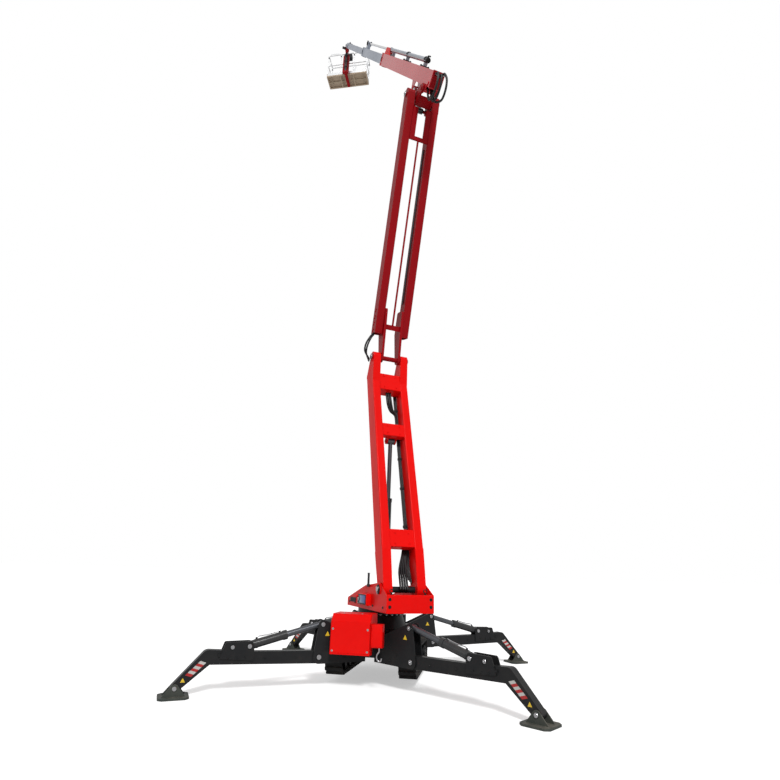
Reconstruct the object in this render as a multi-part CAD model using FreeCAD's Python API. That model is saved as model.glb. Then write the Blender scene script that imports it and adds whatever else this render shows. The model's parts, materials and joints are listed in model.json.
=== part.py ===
"""Tracked spider lift standing on its four outriggers, mast raised, millimetres.

Frame: Z up, ground at Z = 0, slewing axis at X = Y = 0, X along the tracks.
The mast stands in one vertical plane, the boom plane, which is turned by YAW from +X.
"""
import FreeCAD, Part
import math
import os

V = FreeCAD.Vector

# Stance as photographed, in degrees
YAW = 30.8              # boom plane from +X, seen from above
LOWER_LEAN = 14.4       # lower arm from upright, towards the boom's side
UPPER_LEAN = -17.9      # upper arm from upright, away from the boom's side
BOOM_RISE = 55.0        # boom above level
BASKET_TURN = -29.8     # basket against the boom plane, so its sides lie along X and Y

# Clearances
FIT = 0.3               # between a pin or slide and what it runs in
SIDE_GAP = 8.0          # between pieces that swing past each other

# Tracks
TRACK_GAUGE = 980.0     # centre to centre
TRACK_WIDTH = 230.0
TRACK_WHEEL_R = 145.0   # sprocket and idler
TRACK_WHEEL_REACH = 565.0   # sprocket and idler from the middle
BAND_THICK = 24.0
LUG_HEIGHT = 22.0
LUG_LENGTH = 46.0
LUG_PITCH = 92.0
TRACK_LIFT = 90.0       # lugs above the ground while the outriggers carry the machine
ROLLER_R = 52.0
ROLLER_COUNT = 4

# Chassis
FRAME_LENGTH = 2 * (TRACK_WHEEL_REACH + 135.0)     # past the sprocket and idler at both ends
FRAME_WIDTH = 640.0
FRAME_LOW = 330.0
FRAME_HIGH = 640.0
FRAME_WALL = 14.0
PEDESTAL_R = 300.0
RING_R = 345.0
RING_LOW = 825.0
RING_HIGH = 893.0
HORN_BACK = -300.0      # horn's root, along the outrigger's line
HORN_OUT = 100.0        # where the horn's box ends and its two plates go on
HORN_LOW = 290.0
HORN_HIGH = 560.0
HORN_PLATE = 14.0

# Outriggers, along each one's own line from CORNER, and above the ground
CORNER_X = FRAME_LENGTH / 2 + 150.0      # the corner boxes stand out past the frame's ends
CORNER_Y = 350.0
PAD_X = 1950.0
PAD_Y = 2000.0
LEG_PIVOT = (330.0, 360.0)
EYE_PIVOT = (300.0, 735.0)      # cylinder's rod eye on the horn
LUG_PIVOT = (1200.0, 505.0)     # cylinder's barrel on the leg
LEG_WIDTH = 110.0
LEG_WALL = 8.0
LEG_TOP = 448.0
LEG_LOW = 296.0
LEG_ROOT_R = 72.0
KNEE_TOP = (1700.0, 478.0)
KNEE_LOW = (1630.0, 322.0)
LUG_TOP = 560.0
LUG_FROM = 1150.0
LUG_TO = 1525.0
LUG_PLATE = 14.0
FOOT_PIVOT_Z = 98.0
FOOT_R = 48.0
PIN_R = 26.0
LEG_FOLD = 68.0         # how far the cylinder lifts a leg, degrees
PAD_SIDE = 330.0
PAD_THICK = 22.0
LEG_BARREL_R = 50.0
LEG_ROD_R = 36.0
LEG_BARREL_LENGTH = 470.0
LEG_ROD_LENGTH = 485.0

# Turret, in the boom plane: x towards the boom's side, z up
FLOOR_THICK = 30.0
CHEEK_OUT = 334.0       # outer face of the side plates
CHEEK_THICK = 12.0
TAIL_X = -1085.0
NOSE_X = 745.0
TAIL_TOP = 1115.0
CHEEK_TOP = 1205.0
NOSE_TOP = 1010.0
ARM_PIVOT = (-780.0, 1170.0)
LIFT_PIVOT = (-100.0, 1052.0)
ARM_PIN_R = 40.0
CABINET_X = (-460.0, -110.0)
CABINET_Z = (948.0, 1098.0)
CABINET_DEPTH = 70.0    # out from the left side plate

# Lower arm, a along the arm from its pivot, n towards the turret's tail side
LOWER_LENGTH = 3800.0
ELBOW_N = 185.0         # elbow pin from the lower arm's middle line
RAIL_OUT = 312.0        # outer face of a rail
LOWER_RAIL_IN = 182.0
LOWER_DEPTH = 300.0
RAIL_WALL = 8.0
LOWER_ROOT_R = 112.0
ELBOW_R = 88.0
LIFT_EYE = (2290.0, -30.0)      # lift cylinder's eye, a and n
LIFT_BARREL_R = 55.0
LIFT_ROD_R = 33.0
LIFT_BARREL_LENGTH = 1420.0
LIFT_ROD_LENGTH = 1250.0
# lower arm's cross members: a from, a to, n from, n to
LOWER_CROSS = [
    (540.0, 790.0, 0.0, 140.0),
    (2300.0, 2520.0, 35.0, 145.0),
    (LOWER_LENGTH - 620.0, LOWER_LENGTH - 300.0, -60.0, 148.0),
]

# Upper arm, b along the arm from the elbow pin, m as n
UPPER_LENGTH = 4860.0
UPPER_PIN_M = 165.0     # elbow pin from the upper arm's middle line
UPPER_RAIL_IN = LOWER_RAIL_IN - SIDE_GAP
UPPER_DEPTH = 240.0
UPPER_RAIL_START = 430.0
NECK_THICK = 42.0
NECK_END = 900.0
NECK_R = 80.0
UPPER_TOP_R = 108.0
CROSSHEAD_THICK = 30.0
CROSSHEAD_FROM = UPPER_LENGTH - 850.0
CROSSHEAD_BRIDGE = UPPER_LENGTH - 780.0
CROSSHEAD_TO = UPPER_LENGTH - 240.0
CROSSHEAD_SLOT = 160.0
TUBE_R = 17.0

# Head, in the boom plane from the upper arm's top pin
HEAD_PLATE = 30.0
HEAD_OUT = 150.0
BOOM_PIVOT = (-310.0, -125.0)
RAM_PIVOT = (110.0, -150.0)
HEAD_RADII = (84.0, 80.0, 60.0)

# Boom, s along it from the boom pivot, t across it in the boom plane
BOOM_AXIS_T = 180.0     # boom's middle line above its pivot
BOOM_BACK = -280.0
BOOM_FRONT = 4750.0
BOOM_WIDTH = 200.0
BOOM_HEIGHT = 260.0
BOOM_WALL = 8.0
COLLAR = 90.0
RAM_EYE = (1000.0, -60.0)
RAM_BARREL_R = 45.0
RAM_ROD_R = 27.0
RAM_BARREL_LENGTH = 440.0
RAM_ROD_LENGTH = 510.0
MID_BACK = 3900.0
MID_FRONT = 8200.0
MID_WIDTH = 164.0
MID_HEIGHT = 216.0
TIP_BACK = 7500.0
TIP_FRONT = 12380.0
TIP_WIDTH = 128.0
TIP_HEIGHT = 172.0
SECTION_WALL = 7.0
BASKET_PIVOT_S = 12500.0
PUSHER_T = BOOM_AXIS_T + 250.0      # telescoping cylinder's line
PUSHER_R = 43.0
PUSHER_ROD_R = 27.0
PUSHER_BACK = 700.0
PUSHER_FRONT = 4300.0
PUSHER_ROD_BACK = 3700.0
TELE_STROKE = 2900.0    # of each section

# Basket, in its own frame: x away from the mast, y along its long side
BASKET_LONG = 1500.0
BASKET_DEEP = 520.0
BASKET_TALL = 1100.0
BASKET_NEAR = 120.0    # near side from the mast's axis
BASKET_DROP = 1180.0    # floor's underside below the boom's end pin
MAST_AHEAD = 120.0      # mast's axis ahead of the boom's end pin
MAST_SIDE = 90.0
MAST_WIDE = 220.0        # lower part of the mast, clear of the boom when it turns
MAST_WIDE_FROM = 400.0   # below the boom's end pin
MAST_R = 40.0           # mast's round neck in its sleeve
SLEEVE_R = 58.0
SLEEVE_HALF = 130.0
TRAY_HEIGHT = 60.0
TRAY_SKIN = 4.0
KICK_HEIGHT = 100.0
TUBE_RAIL_R = 17.0
GATE_WIDTH = 480.0


def box(x0, x1, y0, y1, z0, z1):
    """Box from its lowest and highest corner values."""
    return Part.makeBox(x1 - x0, y1 - y0, z1 - z0, V(x0, y0, z0))


def rod(p, q, r):
    """Cylinder of radius r from p to q."""
    p, q = V(*p), V(*q)
    return Part.makeCylinder(r, (q - p).Length, p, q - p)


def cross_pin(x, z, r, half):
    """Cylinder along Y through (x, z), as wide as half on each side."""
    return rod((x, -half, z), (x, half, z), r)


def fuse(shapes):
    """One solid from several that meet."""
    first = shapes[0]
    return first.multiFuse(shapes[1:]).removeSplitter() if len(shapes) > 1 else first


def belt(circles, y0, y1):
    """Plate round circles (x, z, r), given anticlockwise with x to the right and z up."""
    n = len(circles)
    normals = []
    for i in range(n):
        x0, z0, r0 = circles[i]
        x1, z1, r1 = circles[(i + 1) % n]
        dist = math.hypot(x1 - x0, z1 - z0)
        normals.append(math.atan2(z1 - z0, x1 - x0) - math.acos((r0 - r1) / dist))
    edges = []
    ends = []
    for i in range(n):
        x, z, r = circles[i]
        a_in, a_out = normals[i - 1], normals[i]
        while a_out < a_in:
            a_out += 2 * math.pi
        turn = [V(x + r * math.cos(a), y0, z + r * math.sin(a)) for a in (a_in, (a_in + a_out) / 2, a_out)]
        if r > 0 and a_out - a_in > 1e-6:
            edges.append(Part.Arc(*turn).toShape())
        ends.append((turn[0], turn[2]))
        if i:
            edges.insert(len(edges) - (1 if r > 0 and a_out - a_in > 1e-6 else 0),
                         Part.makeLine(ends[i - 1][1], turn[0]))
    edges.append(Part.makeLine(ends[-1][1], ends[0][0]))
    return Part.Face(Part.Wire(edges)).extrude(V(0, y1 - y0, 0))


def prism_xz(points, y0, y1):
    """Straight sided plate in the XZ plane, from y0 to y1."""
    loop = [V(x, y0, z) for x, z in points]
    return Part.Face(Part.makePolygon(loop + loop[:1])).extrude(V(0, y1 - y0, 0))


def prism_xy(points, z0, z1):
    """Straight sided block in the XY plane, from z0 to z1."""
    loop = [V(x, y, z0) for x, y in points]
    return Part.Face(Part.makePolygon(loop + loop[:1])).extrude(V(0, 0, z1 - z0))


def sided(y0, y1, sign):
    """Lowest and highest y of a piece that lies from y0 to y1 on the side of sign."""
    return (y0, y1) if sign > 0 else (-y1, -y0)


def square_tube(x0, x1, width, height, wall):
    """Box section along X, centred on Y = Z = 0, open at both ends."""
    outer = box(x0, x1, -width / 2, width / 2, -height / 2, height / 2)
    w, h = width / 2 - wall, height / 2 - wall
    return outer.cut(box(x0 - 1, x1 + 1, -w, w, -h, h))


def in_plane(shape, angle, at):
    """Turn a piece drawn along +X by angle, up from level in the XZ plane, and set it at (x, z)."""
    shape.rotate(V(0, 0, 0), V(0, 1, 0), -angle)
    shape.translate(V(at[0], 0, at[1]))
    return shape


def barrel(length, r, bore, eye_r, eye_half, pin_r):
    """Cylinder barrel along +X from its eye at the origin, open at the gland end."""
    body = rod((eye_r * 0.6, 0, 0), (length, 0, 0), r)
    gland = rod((length - 55, 0, 0), (length, 0, 0), r + 6)
    eye = cross_pin(0, 0, eye_r, eye_half)
    solid = fuse([body, gland, eye])
    solid = solid.cut(rod((eye_r * 0.9, 0, 0), (length + 1, 0, 0), bore + FIT))
    return solid.cut(cross_pin(0, 0, pin_r + FIT, eye_half + 1))


def piston_rod(reach, length, r, eye_r, eye_half, pin_r):
    """Piston rod along +X that ends in an eye at reach from the barrel's own eye."""
    body = rod((reach - length, 0, 0), (reach - eye_r * 0.6, 0, 0), r)
    eye = cross_pin(reach, 0, eye_r, eye_half)
    return fuse([body, eye]).cut(cross_pin(reach, 0, pin_r + FIT, eye_half + 1))


def between(p, q):
    """Length and angle up from level of the line from p to q, both (x, z)."""
    return math.hypot(q[0] - p[0], q[1] - p[1]), math.degrees(math.atan2(q[1] - p[1], q[0] - p[0]))


nodes = {}

# Chassis: a plated box between the tracks, a horn at each corner, axle tubes out to the tracks
EYE_HALF = 42.0
HORN_IN = LEG_WIDTH / 2 + 5
HORN_FACE = HORN_IN + HORN_PLATE
HORN_PIVOT_R = 76.0
HORN_EYE_R = 54.0
AXLE_X = 330.0
AXLE_DEPTH = 76.0
AXLE_HIGH = TRACK_LIFT + LUG_HEIGHT + BAND_THICK + 2 * TRACK_WHEEL_R - SIDE_GAP
AXLE_LOW = AXLE_HIGH - AXLE_DEPTH
BEAM_HALF = 62.0        # half the width of a track's side beam
LEGS = [
    ("front_left", 1, 1),
    ("front_right", 1, -1),
    ("rear_left", -1, 1),
    ("rear_right", -1, -1),
]


def at_corner(shape, sx, sy):
    """Put a piece drawn along one outrigger's line onto the corner with those signs."""
    heading = math.degrees(math.atan2(sy * (PAD_Y - CORNER_Y), sx * (PAD_X - CORNER_X)))
    shape.rotate(V(0, 0, 0), V(0, 0, 1), heading)
    shape.translate(V(sx * CORNER_X, sy * CORNER_Y, 0))
    return shape


def horn():
    """Corner bracket: a short box with two plates that hold the leg and its cylinder."""
    cheek = [(HORN_BACK, HORN_LOW, 0), (LEG_PIVOT[0], LEG_PIVOT[1], HORN_PIVOT_R),
             (EYE_PIVOT[0], EYE_PIVOT[1], HORN_EYE_R), (HORN_BACK, HORN_HIGH, 0)]
    plates = [belt(cheek, *sided(HORN_IN, HORN_FACE, s)) for s in (1, -1)]
    web = box(HORN_BACK, HORN_OUT, -HORN_IN, HORN_IN, HORN_LOW + 12, HORN_HIGH - 50)
    pin = cross_pin(*LEG_PIVOT, PIN_R, HORN_FACE + 12)
    caps = [rod((EYE_PIVOT[0], s * HORN_IN, EYE_PIVOT[1]), (EYE_PIVOT[0], s * (HORN_FACE + 12), EYE_PIVOT[1]), PIN_R)
            for s in (1, -1)]
    return fuse(plates + [web, pin] + caps)


frame = box(-FRAME_LENGTH / 2, FRAME_LENGTH / 2, -FRAME_WIDTH / 2, FRAME_WIDTH / 2, FRAME_LOW, FRAME_HIGH)
frame = frame.cut(box(-FRAME_LENGTH / 2 + FRAME_WALL, FRAME_LENGTH / 2 - FRAME_WALL,
                      -FRAME_WIDTH / 2 + FRAME_WALL, FRAME_WIDTH / 2 - FRAME_WALL,
                      FRAME_LOW - 1, FRAME_HIGH - FRAME_WALL))
belly = [box(x - 7, x + 7, -FRAME_WIDTH / 2 + 1, FRAME_WIDTH / 2 - 1, FRAME_LOW, FRAME_HIGH - 1)
         for x in (-AXLE_X, 0.0, AXLE_X)]
axles = [box(sx * AXLE_X - 45, sx * AXLE_X + 45, *sided(FRAME_WIDTH / 2 - 5, TRACK_GAUGE / 2 - BEAM_HALF, sy),
             AXLE_LOW, AXLE_HIGH) for sx in (1, -1) for sy in (1, -1)]
horns = [at_corner(horn(), sx, sy) for _, sx, sy in LEGS]
nodes["chassis_frame"] = fuse([frame] + belly + axles + horns)

pedestal = Part.makeCone(PEDESTAL_R + 70, PEDESTAL_R, RING_LOW - FRAME_HIGH, V(0, 0, FRAME_HIGH))
nodes["pedestal"] = pedestal.cut(Part.makeCone(PEDESTAL_R + 50, PEDESTAL_R - 20, RING_LOW - FRAME_HIGH,
                                               V(0, 0, FRAME_HIGH)))
ring = Part.makeCylinder(RING_R, RING_HIGH - RING_LOW, V(0, 0, RING_LOW))
ring = ring.cut(Part.makeCylinder(PEDESTAL_R - 60, RING_HIGH - RING_LOW, V(0, 0, RING_LOW)))
nodes["slew_ring"] = ring.makeChamfer(8, [e for e in ring.Edges if abs(e.Length - 2 * math.pi * RING_R) < 1
                                          and e.CenterOfMass.z < RING_HIGH - 1])

# Tracks and the beams, wheels and rollers that carry them
BAND_R = TRACK_WHEEL_R + BAND_THICK
TRACK_Z = TRACK_LIFT + BAND_R + LUG_HEIGHT


def track(sy):
    """Rubber band with lugs round its two wheels."""
    y0, y1 = sy * TRACK_GAUGE / 2 - TRACK_WIDTH / 2, sy * TRACK_GAUGE / 2 + TRACK_WIDTH / 2
    ends = [(-TRACK_WHEEL_REACH, TRACK_Z), (TRACK_WHEEL_REACH, TRACK_Z)]
    band = belt([(x, z, BAND_R) for x, z in ends], y0, y1)
    band = band.cut(belt([(x, z, TRACK_WHEEL_R) for x, z in ends], y0 - 1, y1 + 1))
    lug = Part.makeBox(LUG_LENGTH, TRACK_WIDTH, LUG_HEIGHT + 4, V(-LUG_LENGTH / 2, y0, BAND_R - 4))
    straight = 2 * TRACK_WHEEL_REACH
    around = 2 * straight + 2 * math.pi * BAND_R
    count = int(around / LUG_PITCH)
    lugs = []
    for i in range(count):
        run = i * around / count
        one = lug.copy()
        if run < straight:
            one.translate(V(run - TRACK_WHEEL_REACH, 0, TRACK_Z))
        elif run < straight + math.pi * BAND_R:
            one.rotate(V(0, 0, 0), V(0, 1, 0), math.degrees((run - straight) / BAND_R))
            one.translate(V(TRACK_WHEEL_REACH, 0, TRACK_Z))
        elif run < 2 * straight + math.pi * BAND_R:
            one.rotate(V(0, 0, 0), V(0, 1, 0), 180)
            one.translate(V(TRACK_WHEEL_REACH - (run - straight - math.pi * BAND_R), 0, TRACK_Z))
        else:
            back = (run - 2 * straight - math.pi * BAND_R) / BAND_R
            one.rotate(V(0, 0, 0), V(0, 1, 0), 180 + math.degrees(back))
            one.translate(V(-TRACK_WHEEL_REACH, 0, TRACK_Z))
        lugs.append(one)
    return band.multiFuse(lugs)


def carriage(sy):
    """Side beam with sprocket, idler and rollers."""
    y = sy * TRACK_GAUGE / 2
    half = TRACK_WIDTH / 2
    floor_z = TRACK_Z - TRACK_WHEEL_R
    beam = box(-TRACK_WHEEL_REACH + 150, TRACK_WHEEL_REACH - 150, y - BEAM_HALF, y + BEAM_HALF,
               TRACK_Z - 20, TRACK_Z + 90)
    forks = [box(-TRACK_WHEEL_REACH - 25, TRACK_WHEEL_REACH + 25, y + s * 48 - 8, y + s * 48 + 8,
                 TRACK_Z - 22, TRACK_Z + 22) for s in (1, -1)]
    parts = [beam] + forks
    for sx in (1, -1):
        wheel = Part.makeCylinder(TRACK_WHEEL_R - FIT, 60, V(sx * TRACK_WHEEL_REACH, y - 30, TRACK_Z), V(0, 1, 0))
        hub = Part.makeCylinder(62, 150, V(sx * TRACK_WHEEL_REACH, y - 75, TRACK_Z), V(0, 1, 0))
        parts += [wheel, hub]
    span = 2 * (TRACK_WHEEL_REACH - 190)
    for i in range(ROLLER_COUNT):
        x = -span / 2 + i * span / (ROLLER_COUNT - 1)
        centre = floor_z + ROLLER_R + FIT
        parts.append(Part.makeCylinder(ROLLER_R, 2 * half - 60, V(x, y - half + 30, centre), V(0, 1, 0)))
        parts.append(box(x - 22, x + 22, y - BEAM_HALF + 10, y + BEAM_HALF - 10, centre, TRACK_Z))
    return fuse(parts)


for side, sy in (("left", 1), ("right", -1)):
    nodes["track_" + side] = track(sy)
    nodes["track_carriage_" + side] = carriage(sy)

# Engine end and far end
COVER_Y0 = -80.0
COVER_Y1 = 440.0
COVER_FRONT = -FRAME_LENGTH / 2 - 450.0
COVER_BACK = -FRAME_LENGTH / 2 - 300.0
COVER_LOW = 410.0
COVER_HIGH = 872.0
COVER_SHELF = 745.0
COVER_SHELF_BACK = -FRAME_LENGTH / 2 - 15.0
COVER_WALL = 4.0


def cover_outline(inset):
    """Engine cover's side outline, drawn in by inset."""
    k = inset
    return [(COVER_FRONT + k, COVER_LOW - 1 if k else COVER_LOW), (COVER_BACK - k, COVER_LOW - 1 if k else COVER_LOW),
            (COVER_BACK - k, COVER_SHELF + k), (COVER_SHELF_BACK - k, COVER_SHELF + k),
            (COVER_SHELF_BACK - k, COVER_HIGH - k), (COVER_FRONT + 80 + k, COVER_HIGH - k),
            (COVER_FRONT + k, COVER_HIGH - 85 - k)]


cover = prism_xz(cover_outline(0), COVER_Y0, COVER_Y1)
upright = [e for e in cover.Edges if e.CenterOfMass.x < COVER_FRONT + 60 and e.BoundBox.YLength < 1]
cover = cover.makeFillet(18, upright)
cover = cover.cut(prism_xz(cover_outline(COVER_WALL), COVER_Y0 + COVER_WALL, COVER_Y1 - COVER_WALL))
nodes["engine_cover"] = cover
ARM_HALF = 42.0
engine = box(COVER_FRONT + 26, COVER_BACK - 24, COVER_Y0 + 22, COVER_Y1 - 24, COVER_LOW + 20, COVER_SHELF - 48)
bearer = box(COVER_BACK - 30, -FRAME_LENGTH / 2, -ARM_HALF, ARM_HALF, COVER_LOW + 10, COVER_LOW + 130)
nodes["engine_block"] = fuse([engine, bearer])
nodes["engine_cover"] = nodes["engine_cover"].cut(
    box(COVER_BACK - 31, COVER_BACK + 1, -ARM_HALF - 2, ARM_HALF + 2, COVER_LOW - 1, COVER_LOW + 132))
side = box(COVER_FRONT + 25, COVER_BACK, COVER_Y0 - 150, COVER_Y0, 498, 765)
nodes["side_box"] = side.makeFillet(12, [e for e in side.Edges if e.CenterOfMass.x < COVER_FRONT + 30])
tank = box(-COVER_BACK, -COVER_FRONT, -210, 210, 440, 740)
tank = tank.makeFillet(30, [e for e in tank.Edges if e.CenterOfMass.x > -COVER_FRONT - 5])
nodes["oil_tank"] = fuse([tank, box(FRAME_LENGTH / 2, -COVER_BACK + 5, -ARM_HALF, ARM_HALF, 460, 580)])

# Outriggers
KNEE = ((KNEE_TOP[0] + KNEE_LOW[0]) / 2, (KNEE_TOP[1] + KNEE_LOW[1]) / 2)
KNEE_R = (KNEE_TOP[1] - KNEE_LOW[1]) / 2
FOOT_X = math.hypot(PAD_X - CORNER_X, PAD_Y - CORNER_Y)
EYE_R = 40.0
half_leg = LEG_WIDTH / 2


def leg():
    """Box leg with a raking shank, the cylinder's two lugs and the foot's eye."""
    root = cross_pin(*LEG_PIVOT, LEG_ROOT_R, half_leg)
    beam = prism_xz([(LEG_PIVOT[0], LEG_PIVOT[1] - LEG_ROOT_R), (KNEE[0], KNEE[1] - KNEE_R),
                     (KNEE[0], KNEE[1] + KNEE_R), (LUG_FROM, LEG_TOP), (LEG_PIVOT[0], LEG_PIVOT[1] + LEG_ROOT_R)],
                    -half_leg, half_leg)
    shank = belt([(FOOT_X, FOOT_PIVOT_Z, FOOT_R), (KNEE[0], KNEE[1], KNEE_R)], -half_leg, half_leg)
    lug = [(LUG_FROM, LEG_TOP - 90, 10), (LUG_TO, LEG_TOP - 60, 10), (LUG_TO - 60, LUG_TOP - 30, 24),
           (LUG_PIVOT[0], LUG_PIVOT[1], LUG_TOP - LUG_PIVOT[1])]
    lugs = [belt(lug, *sided(half_leg, half_leg + LUG_PLATE, s)) for s in (1, -1)]
    pin = cross_pin(*LUG_PIVOT, PIN_R, half_leg + LUG_PLATE + 10)
    solid = fuse([root, beam, shank] + lugs + [pin])
    return solid.cut(cross_pin(*LEG_PIVOT, PIN_R + FIT, half_leg + 1)).cut(
        cross_pin(FOOT_X, FOOT_PIVOT_Z, PIN_R + FIT, half_leg + 1))


def pad():
    """Ground plate with two gussets and the foot's pin."""
    half = PAD_SIDE / 2
    plate = box(FOOT_X - half, FOOT_X + half, -half, half, 0, PAD_THICK)
    plate = plate.makeChamfer(45, [e for e in plate.Edges if e.BoundBox.ZLength > PAD_THICK / 2
                                   and e.BoundBox.XLength < 1])
    gusset = [(FOOT_X - half + 40, PAD_THICK - 2, 0), (FOOT_X + half - 40, PAD_THICK - 2, 0),
              (FOOT_X, FOOT_PIVOT_Z, FOOT_R - 4)]
    gussets = [belt(gusset, *sided(half_leg + 5, half_leg + 19, s)) for s in (1, -1)]
    return fuse([plate] + gussets + [cross_pin(FOOT_X, FOOT_PIVOT_Z, PIN_R, half_leg + 26)])


leg_reach, leg_angle = between(LUG_PIVOT, EYE_PIVOT)
for name, sx, sy in LEGS:
    nodes["leg_" + name] = at_corner(leg(), sx, sy)
    nodes["pad_" + name] = at_corner(pad(), sx, sy)
    tube = barrel(LEG_BARREL_LENGTH, LEG_BARREL_R, LEG_ROD_R, 48.0, EYE_HALF, PIN_R)
    nodes["leg_barrel_" + name] = at_corner(in_plane(tube, leg_angle, LUG_PIVOT), sx, sy)
    stem = piston_rod(leg_reach, LEG_ROD_LENGTH, LEG_ROD_R, EYE_R, EYE_HALF, PIN_R)
    nodes["leg_rod_" + name] = at_corner(in_plane(stem, leg_angle, LUG_PIVOT), sx, sy)


# Turret, drawn in the boom plane and turned with it
def turned(shape):
    """Turn a piece drawn in the boom plane to where that plane stands."""
    shape.rotate(V(0, 0, 0), V(0, 0, 1), YAW)
    return shape


FLOOR_LOW = RING_HIGH + FIT
FLOOR_HIGH = FLOOR_LOW + FLOOR_THICK
CHEEK_IN = CHEEK_OUT - CHEEK_THICK
LIFT_LUG_IN = 62.0
LIFT_LUG = 16.0
TAIL_WALL = 8.0
TAIL_DEPTH = 150.0
floor = prism_xy([(TAIL_X, -CHEEK_OUT), (NOSE_X - 90, -CHEEK_OUT), (NOSE_X, -CHEEK_OUT + 110),
                  (NOSE_X, CHEEK_OUT - 110), (NOSE_X - 90, CHEEK_OUT), (TAIL_X, CHEEK_OUT)], FLOOR_LOW, FLOOR_HIGH)
tail = box(TAIL_X, TAIL_X + TAIL_DEPTH, -CHEEK_IN, CHEEK_IN, FLOOR_HIGH - 1, TAIL_TOP)
tail = tail.makeFillet(16, [e for e in tail.Edges if e.CenterOfMass.x < TAIL_X + 1 and e.CenterOfMass.z > TAIL_TOP - 1])
lift_lug = [(LIFT_PIVOT[0] - 110, FLOOR_HIGH - 2, 0), (LIFT_PIVOT[0] + 110, FLOOR_HIGH - 2, 0),
            (LIFT_PIVOT[0], LIFT_PIVOT[1], 62.0)]
lift_lugs = [belt(lift_lug, *sided(LIFT_LUG_IN, LIFT_LUG_IN + LIFT_LUG, s)) for s in (1, -1)]
lift_pin = cross_pin(*LIFT_PIVOT, 32.0, LIFT_LUG_IN + LIFT_LUG + 10)
nodes["turret_base"] = turned(fuse([floor, tail] + lift_lugs + [lift_pin]))

cheek = [(TAIL_X, FLOOR_HIGH, 0), (NOSE_X - 90, FLOOR_HIGH, 0), (NOSE_X - 110, NOSE_TOP - 20, 20),
         (-200, CHEEK_TOP - 60, 60), (ARM_PIVOT[0], ARM_PIVOT[1], 84), (TAIL_X + 12, TAIL_TOP - 12, 12)]
PIN_HALF = CHEEK_OUT + 16
for side, s in (("left", 1), ("right", -1)):
    plate = belt(cheek, *sided(CHEEK_IN, CHEEK_OUT, s))
    boss = rod((ARM_PIVOT[0], s * CHEEK_OUT, ARM_PIVOT[1]), (ARM_PIVOT[0], s * (CHEEK_OUT + 8), ARM_PIVOT[1]), 66)
    plate = fuse([plate, boss]).cut(cross_pin(*ARM_PIVOT, ARM_PIN_R, PIN_HALF))
    nodes["turret_cheek_" + side] = turned(plate)
nodes["arm_pin"] = turned(cross_pin(*ARM_PIVOT, ARM_PIN_R, PIN_HALF))
CABINET_FRONT = CHEEK_OUT + CABINET_DEPTH
cabinet = box(*CABINET_X, CHEEK_OUT, CABINET_FRONT, *CABINET_Z)
nodes["control_cabinet"] = turned(cabinet.makeFillet(14, [e for e in cabinet.Edges
                                                          if e.CenterOfMass.y > CABINET_FRONT - 1]))


# Lower arm
def on_arm(shape, lean, at):
    """Lean a piece drawn upright over towards the boom's side, set it at (x, z), turn it with the plane."""
    shape.rotate(V(0, 0, 0), V(0, 1, 0), lean)
    shape.translate(V(at[0], 0, at[1]))
    return turned(shape)


def on_line(at, lean, along, out):
    """Point (x, z) reached from at by going along a leaning arm and out to its tail side."""
    c, s = math.cos(math.radians(lean)), math.sin(math.radians(lean))
    return at[0] + along * s - out * c, at[1] + along * c + out * s


RAIL_END = 3600.0
RAIL_START = 150.0
depth = LOWER_DEPTH / 2
LOWER_LUG_IN = LOWER_RAIL_IN
ELBOW_LUG_OUT = RAIL_OUT


def lower_rail(s):
    """Box rail with a round root and, at its top, the lug that holds the elbow pin."""
    y0, y1 = sided(LOWER_RAIL_IN, RAIL_OUT, s)
    foot = belt([(-depth + 30, 520, 30), (0, 0, LOWER_ROOT_R), (depth - 30, 520, 30)], y0, y1)
    rail = box(-depth, depth, y0, y1, 500, RAIL_END)
    rail = rail.makeFillet(14, [e for e in rail.Edges if e.BoundBox.ZLength > 1000])
    lug = belt([(depth - 40, RAIL_END - 40, 40), (-ELBOW_N, LOWER_LENGTH, ELBOW_R), (-depth + 40, RAIL_END - 260, 40)],
               y0, y1)
    solid = fuse([foot, rail, lug])
    solid = solid.cut(box(-depth + RAIL_WALL, depth - RAIL_WALL, y0 + RAIL_WALL, y1 - RAIL_WALL,
                          520, RAIL_END - 320))
    solid = solid.cut(cross_pin(0, 0, ARM_PIN_R + FIT, RAIL_OUT + 1))
    return solid.cut(cross_pin(-ELBOW_N, LOWER_LENGTH, ARM_PIN_R, RAIL_OUT + 1))


nodes["lower_rail_left"] = on_arm(lower_rail(1), LOWER_LEAN, ARM_PIVOT)
nodes["lower_rail_right"] = on_arm(lower_rail(-1), LOWER_LEAN, ARM_PIVOT)
for i, (a0, a1, n0, n1) in enumerate(LOWER_CROSS):
    beam = box(-n1, -n0, -LOWER_RAIL_IN, LOWER_RAIL_IN, a0, a1)
    beam = beam.makeFillet(10, [e for e in beam.Edges if e.BoundBox.YLength > 100])
    if i == 1:
        lug = [(-LIFT_EYE[1], LIFT_EYE[0], 52), (-n0 - 30, a1 - 30, 20), (-n0 - 30, a0 + 25, 20)]
        beam = fuse([beam] + [belt(lug, *sided(LIFT_LUG_IN, LIFT_LUG_IN + LIFT_LUG, s)) for s in (1, -1)]
                    + [rod((-LIFT_EYE[1], s * LIFT_LUG_IN, LIFT_EYE[0]),
                           (-LIFT_EYE[1], s * (LIFT_LUG_IN + LIFT_LUG + 12), LIFT_EYE[0]), 32) for s in (1, -1)])
    nodes["lower_crossbeam_%d" % (i + 1)] = on_arm(beam, LOWER_LEAN, ARM_PIVOT)
nodes["elbow_pin"] = on_arm(cross_pin(-ELBOW_N, LOWER_LENGTH, ARM_PIN_R, RAIL_OUT + 18), LOWER_LEAN, ARM_PIVOT)

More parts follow.
